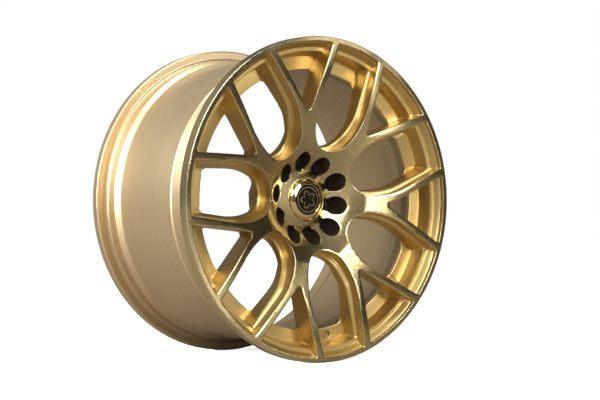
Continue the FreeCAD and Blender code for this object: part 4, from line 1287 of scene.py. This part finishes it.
@dataclass(frozen=True)
class Coating:
    """One finish, built as a procedural material.

    Attributes:
        name: Name of the material.
        colour: Main colour.
        shade: Colour of bands and smudges.
        edge: Colour of worn edges.
        metallic: How metallic it is.
        roughness: Middle of its roughness.
        spread: How far roughness varies.
        anisotropic: Stretch of highlights across the turning lines.
        coat: Weight of the clear coat.
        line_mm: Pitch of the turning lines, zero for none.
        line_depth: Depth of those lines in millimetres.
        flake: Strength of metallic flakes.
        peel: Depth of orange peel in millimetres.
        wear: Strength of edge wear.
        dust: Strength of dust.
        print_colour: Colour of the emblem's pattern, if it has one.
    """

    name: str
    colour: tuple[float, float, float]
    shade: tuple[float, float, float]
    edge: tuple[float, float, float]
    metallic: float = 1.0
    roughness: float = 0.3
    spread: float = 0.1
    anisotropic: float = 0.0
    coat: float = 0.0
    line_mm: float = 0.0
    line_depth: float = 0.0
    flake: float = 0.0
    peel: float = 0.0
    wear: float = 0.4
    dust: float = 0.05
    print_colour: tuple[float, float, float] | None = None

    def build(self) -> bpy.types.Material:
        """Makes the material."""
        material = bpy.data.materials.new(self.name)
        material.use_nodes = True
        tree = material.node_tree
        tree.nodes.clear()
        nodes = Nodes(tree)
        surface = nodes.add("ShaderNodeBsdfPrincipled")
        out = nodes.add("ShaderNodeOutputMaterial")
        nodes.link(surface.outputs[0], out.inputs[0])
        age = nodes.add("ShaderNodeGroup", node_tree=surface_age())
        smudge = nodes.ramp(age.outputs["Smudge"], 0.35, 0.7)
        colour = nodes.blend(nodes.value("MULTIPLY", smudge, 0.22), self.colour, self.shade)
        rough = nodes.value("ADD", nodes.value("MULTIPLY", smudge, self.spread),
                            self.roughness - self.spread / 2)
        height = None
        if self.line_mm > 0:
            lines = nodes.add("ShaderNodeGroup", node_tree=lathe_lines())
            lines.inputs["Pitch mm"].default_value = self.line_mm
            band = nodes.ramp(lines.outputs["Band"], 0.3, 0.7)
            colour = nodes.blend(nodes.value("MULTIPLY", band, 0.3), colour, self.shade)
            height = nodes.value("MULTIPLY", lines.outputs["Height"], self.line_depth)
        if self.flake > 0 or self.peel > 0:
            skin = nodes.add("ShaderNodeGroup", node_tree=paint_skin())
            glint = nodes.value("MULTIPLY", nodes.ramp(skin.outputs["Flake"], 0.55, 1.0), self.flake)
            colour = nodes.blend(glint, colour, self.edge)
            skin_height = nodes.value("MULTIPLY", skin.outputs["Peel"], self.peel)
            height = skin_height if height is None else nodes.value("ADD", height, skin_height)
        if self.print_colour is not None:
            colour = nodes.blend(self.emblem_pattern(nodes), colour, self.print_colour)
        colour = nodes.blend(nodes.value("MULTIPLY", age.outputs["Wear"], self.wear), colour, self.edge)
        dusty = nodes.value("MULTIPLY", age.outputs["Dust"], self.dust)
        colour = nodes.blend(dusty, colour, (0.42, 0.38, 0.32))
        rough = nodes.value("ADD", rough, nodes.value("MULTIPLY", dusty, 0.5), clamp=True)
        nodes.link(colour, surface.inputs["Base Color"])
        nodes.link(rough, surface.inputs["Roughness"])
        surface.inputs["Metallic"].default_value = self.metallic
        surface.inputs["Coat Weight"].default_value = self.coat
        surface.inputs["Coat Roughness"].default_value = 0.06
        surface.inputs["Anisotropic"].default_value = self.anisotropic
        if self.anisotropic > 0:
            spot, _, _ = axle_radius(nodes)
            cross = nodes.add("ShaderNodeVectorMath", operation="CROSS_PRODUCT")
            nodes.link(spot, cross.inputs[0])
            cross.inputs[1].default_value = (0.0, 1.0, 0.0)
            unit = nodes.add("ShaderNodeVectorMath", operation="NORMALIZE")
            nodes.link(cross.outputs[0], unit.inputs[0])
            nodes.link(unit.outputs[0], surface.inputs["Tangent"])
        if height is not None:
            bump = nodes.add("ShaderNodeBump")
            bump.inputs["Distance"].default_value = MM
            bump.inputs["Strength"].default_value = 1.0
            nodes.link(height, bump.inputs["Height"])
            nodes.link(bump.outputs[0], surface.inputs["Normal"])
        LOG.info("finish %s", self.name)
        return material

    @staticmethod
    def emblem_pattern(nodes: Nodes) -> bpy.types.NodeSocket:
        """Mask of a plain printed pattern: a thin ring round a five-pointed rosette."""
        spot, radius, _ = axle_radius(nodes)
        ring = nodes.value("MULTIPLY", nodes.ramp(radius, 18.6, 18.8), nodes.ramp(radius, 19.5, 19.3))
        split = nodes.add("ShaderNodeSeparateXYZ")
        nodes.link(spot, split.inputs[0])
        angle = nodes.value("ARCTAN2", split.outputs[2], split.outputs[0])
        wave = nodes.value("ABSOLUTE", nodes.value("SINE", nodes.value("MULTIPLY", angle, 2.5)))
        edge = nodes.value("ADD", nodes.value("MULTIPLY", wave, 6.5), 7.0)
        gap = nodes.value("ABSOLUTE", nodes.value("SUBTRACT", radius, edge))
        petal = nodes.value("SUBTRACT", 1.0, nodes.ramp(gap, 0.45, 0.6))
        return nodes.value("MAXIMUM", ring, petal)


def wheel_finishes() -> dict[str, bpy.types.Material]:
    """All finishes of the wheel by name."""
    coatings = (
        Coating("machined_gold", (0.70, 0.56, 0.275), (0.53, 0.42, 0.2), (0.95, 0.88, 0.66),
                roughness=0.25, anisotropic=0.82, coat=0.2, line_mm=0.42, line_depth=0.0016, wear=0.1),
        # Much lighter than the machined face it is cut from: a painted highlight along the machined edges.
        Coating("painted_highlight_edge", (0.93, 0.84, 0.6), (0.8, 0.7, 0.46), (1.0, 0.95, 0.8), roughness=0.22,
                wear=0.1),
        Coating("gold_paint", (0.74, 0.54, 0.21), (0.64, 0.46, 0.165), (0.95, 0.80, 0.48),
                roughness=0.4, spread=0.06, coat=0.3, flake=0.1, peel=0.0016, wear=0.15),
        # Near-black: dark socket paint plus the shade of the deep lug bores painted into the colour.
        Coating("socket_paint_and_shade", (0.075, 0.055, 0.03), (0.045, 0.034, 0.02), (0.2, 0.15, 0.08),
                metallic=0.55, roughness=0.42, flake=0.12, peel=0.006, wear=0.1),
        Coating("satin_back", (0.42, 0.33, 0.19), (0.33, 0.26, 0.15), (0.62, 0.52, 0.34),
                roughness=0.46, spread=0.12, line_mm=1.1, line_depth=0.004, wear=0.2),
        Coating("champagne_satin", (0.70, 0.55, 0.33), (0.62, 0.48, 0.285), (0.86, 0.75, 0.55),
                roughness=0.42, spread=0.02, anisotropic=0.3, coat=0.1, line_mm=0.8, line_depth=0.0012,
                wear=0.15),
        # Darker copy of the outside colour: painted shade inside the barrel, with its own coarser turning
        # lines.
        Coating("barrel_inside_shaded", (0.64, 0.495, 0.285), (0.54, 0.415, 0.235), (0.62, 0.53, 0.38),
                roughness=0.44, spread=0.04, anisotropic=0.4, line_mm=1.6, line_depth=0.004, wear=0.15),
        Coating("weld_metal", (0.60, 0.52, 0.38), (0.36, 0.30, 0.2), (0.8, 0.74, 0.6), roughness=0.38,
                spread=0.2),
        Coating("polished_gold", (0.90, 0.68, 0.32), (0.78, 0.56, 0.24), (1.0, 0.86, 0.56),
                roughness=0.09, spread=0.05, wear=0.3, dust=0.02),
        Coating("emblem_gloss", (0.012, 0.011, 0.01), (0.02, 0.018, 0.015), (0.08, 0.07, 0.05),
                metallic=0.0, roughness=0.1, spread=0.04, coat=0.2, peel=0.001, dust=0.02,
                print_colour=(0.42, 0.29, 0.1)),
        Coating("cap_plastic", (0.03, 0.03, 0.032), (0.05, 0.05, 0.052), (0.12, 0.12, 0.12),
                metallic=0.0, roughness=0.5, peel=0.01),
        Coating("seat_steel", (0.5, 0.48, 0.45), (0.3, 0.28, 0.25), (0.75, 0.73, 0.7), roughness=0.34,
                spread=0.15, line_mm=0.3, line_depth=0.002),
    )
    return {coating.name: coating.build() for coating in coatings}


# ---------------------------------------------------------------------------------------
# Studio
# ---------------------------------------------------------------------------------------
@dataclass(frozen=True)
class SoftBox:
    """A large soft lamp that looks at the wheel."""

    name: str
    place: tuple[float, float, float]
    size: tuple[float, float]
    watts: float
    colour: tuple[float, float, float] = (1.0, 1.0, 1.0)
    aim: tuple[float, float, float] = (0.0, 0.0, 0.0)

    def build(self) -> None:
        """Adds the lamp."""
        lamp = bpy.data.lights.new(self.name, "AREA")
        lamp.shape = "RECTANGLE"
        lamp.size, lamp.size_y = self.size
        lamp.energy = self.watts
        lamp.color = self.colour
        shown = bpy.data.objects.new(self.name, lamp)
        bpy.context.collection.objects.link(shown)
        shown.location = self.place
        shown.rotation_mode = "QUATERNION"
        shown.rotation_quaternion = (Vector(self.aim) - Vector(self.place)).to_track_quat("-Z", "Y")


@dataclass(frozen=True)
class Studio:
    """Pale floor, white surroundings, soft lamps and the camera."""

    floor_height: float
    boxes: tuple[SoftBox, ...] = (
        SoftBox("front_right_box", (0.55, -2.75, 0.95), (0.8, 1.2), 40.0, (1.0, 0.98, 0.94)),
        SoftBox("front_left_box", (-1.9, -2.4, 1.5), (1.2, 1.2), 38.0),
        SoftBox("left_side_box", (-3.0, 0.6, 1.0), (1.6, 1.1), 150.0, (1.0, 0.97, 0.95)),
        SoftBox("top_box", (-0.4, 0.3, 2.6), (1.8, 1.8), 48.0),
    )

    def build(self) -> None:
        """Adds floor, surroundings, lamps and camera."""
        mesh = bpy.data.meshes.new("floor")
        reach, z = 8.0, self.floor_height
        mesh.from_pydata([(-reach, -reach, z), (reach, -reach, z), (reach, reach, z), (-reach, reach, z)], [],
                         [(0, 1, 2, 3)])
        floor = place("floor", mesh)
        dress(floor, [self.floor_material()])
        floor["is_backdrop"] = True
        world = bpy.context.scene.world or bpy.data.worlds.new("studio")
        bpy.context.scene.world = world
        world.use_nodes = True
        world.node_tree.nodes.clear()
        nodes = Nodes(world.node_tree)
        light = nodes.add("ShaderNodeBackground")
        seen = nodes.add("ShaderNodeBackground")
        seen.inputs["Color"].default_value = (1.0, 1.0, 1.0, 1.0)
        seen.inputs["Strength"].default_value = 1.0
        way = nodes.add("ShaderNodeTexCoord").outputs["Generated"]
        split = nodes.add("ShaderNodeSeparateXYZ")
        nodes.link(way, split.inputs[0])
        rise = nodes.ramp(split.outputs[2], -0.5, 0.9)
        from_left = nodes.ramp(split.outputs[0], 0.75, -0.75)
        height = nodes.blend(rise, (0.05, 0.045, 0.04), (0.6, 0.6, 0.61))
        nodes.link(nodes.blend(from_left, (0.045, 0.042, 0.038), height), light.inputs["Color"])
        light.inputs["Strength"].default_value = 0.9
        mix = nodes.add("ShaderNodeMixShader")
        nodes.link(nodes.add("ShaderNodeLightPath").outputs["Is Camera Ray"], mix.inputs[0])
        nodes.link(light.outputs[0], mix.inputs[1])
        nodes.link(seen.outputs[0], mix.inputs[2])
        nodes.link(mix.outputs[0], nodes.add("ShaderNodeOutputWorld").inputs[0])
        for box in self.boxes:
            box.build()
        self.camera()
        bpy.context.scene.view_settings.view_transform = "Standard"

    @staticmethod
    def floor_material() -> bpy.types.Material:
        """Pale matt floor with a faint unevenness."""
        material = bpy.data.materials.new("pale_floor")
        material.use_nodes = True
        nodes = Nodes(material.node_tree)
        surface = material.node_tree.nodes["Principled BSDF"]
        spot = nodes.add("ShaderNodeTexCoord").outputs["Object"]
        direct = nodes.add("ShaderNodeLightPath").outputs["Is Camera Ray"]
        seen = nodes.blend(nodes.noise(3.0, 3.0, spot), (0.93, 0.93, 0.93), (0.96, 0.96, 0.96))
        nodes.link(nodes.blend(direct, (0.2, 0.18, 0.16), seen), surface.inputs["Base Color"])
        nodes.link(nodes.value("MULTIPLY", direct, 0.82), surface.inputs["Emission Strength"])
        surface.inputs["Roughness"].default_value = 0.8
        surface.inputs["Emission Color"].default_value = (1.0, 1.0, 1.0, 1.0)
        return material

    @staticmethod
    def camera() -> None:
        """Adds the camera at the viewing angle of a three-quarter front view."""
        lens = bpy.data.cameras.new("camera")
        lens.lens = 89.05
        lens.sensor_width = 36.0
        lens.clip_start, lens.clip_end = 0.05, 60.0
        shown = bpy.data.objects.new("camera", lens)
        bpy.context.collection.objects.link(shown)
        ahead = Vector((0.5929, 0.8052, 0.0084)).normalized()
        right = ahead.cross(Vector((0.0, 0.0, 1.0))).normalized()
        up = right.cross(ahead)
        shown.rotation_mode = "QUATERNION"
        axes = (right, up, -ahead)
        matrix = [[axes[column][row] for column in range(3)] for row in range(3)]
        shown.rotation_quaternion = Matrix(matrix).to_quaternion()
        shown.location = (-1.3693, -1.8987, -0.0198)
        bpy.context.scene.camera = shown


# ---------------------------------------------------------------------------------------
# Assembly
# ---------------------------------------------------------------------------------------
def attach(piece: bpy.types.Object, body: str, node: str | None) -> None:
    """Makes a finished piece ride on a body and stand for a node."""
    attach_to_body(piece, body)
    if node is not None:
        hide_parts(node)
    LOG.info("%s: %d faces, rides on %s", piece.name, len(piece.data.polygons), body)


def main() -> None:
    """Builds the wheel's looks over the frame."""
    logging.basicConfig(level=logging.INFO, format="%(name)s: %(message)s")
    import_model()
    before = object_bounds()
    finish = wheel_finishes()
    face = ForgedFace().build([finish[name] for name in (
        "machined_gold", "painted_highlight_edge", "gold_paint", "socket_paint_and_shade", "satin_back")])
    attach(face, "wheel", "forged_face")
    barrel = SpunBarrel().build([finish["champagne_satin"], finish["barrel_inside_shaded"]])
    attach(barrel, "wheel", "spun_barrel")
    attach(WeldBead().build(finish["weld_metal"]), "wheel", "well_weld")
    bezel, emblem = CentreCap().build(finish["polished_gold"], finish["emblem_gloss"])
    attach(bezel, "centre_cap", "cap_bezel")
    attach(emblem, "centre_cap", "cap_emblem")
    for node, name in (("lug_seats_wide", "seat_steel"), ("lug_seats_narrow", "seat_steel"),
                       ("cap_shell", "cap_plastic"), ("cap_retaining_ring", "seat_steel")):
        dress(bpy.data.objects[node], [finish[name]])
        LOG.info("%s dressed in %s", node, name)
    Studio(floor_height=before[0].z).build()


if __name__ == "__main__":
    main()
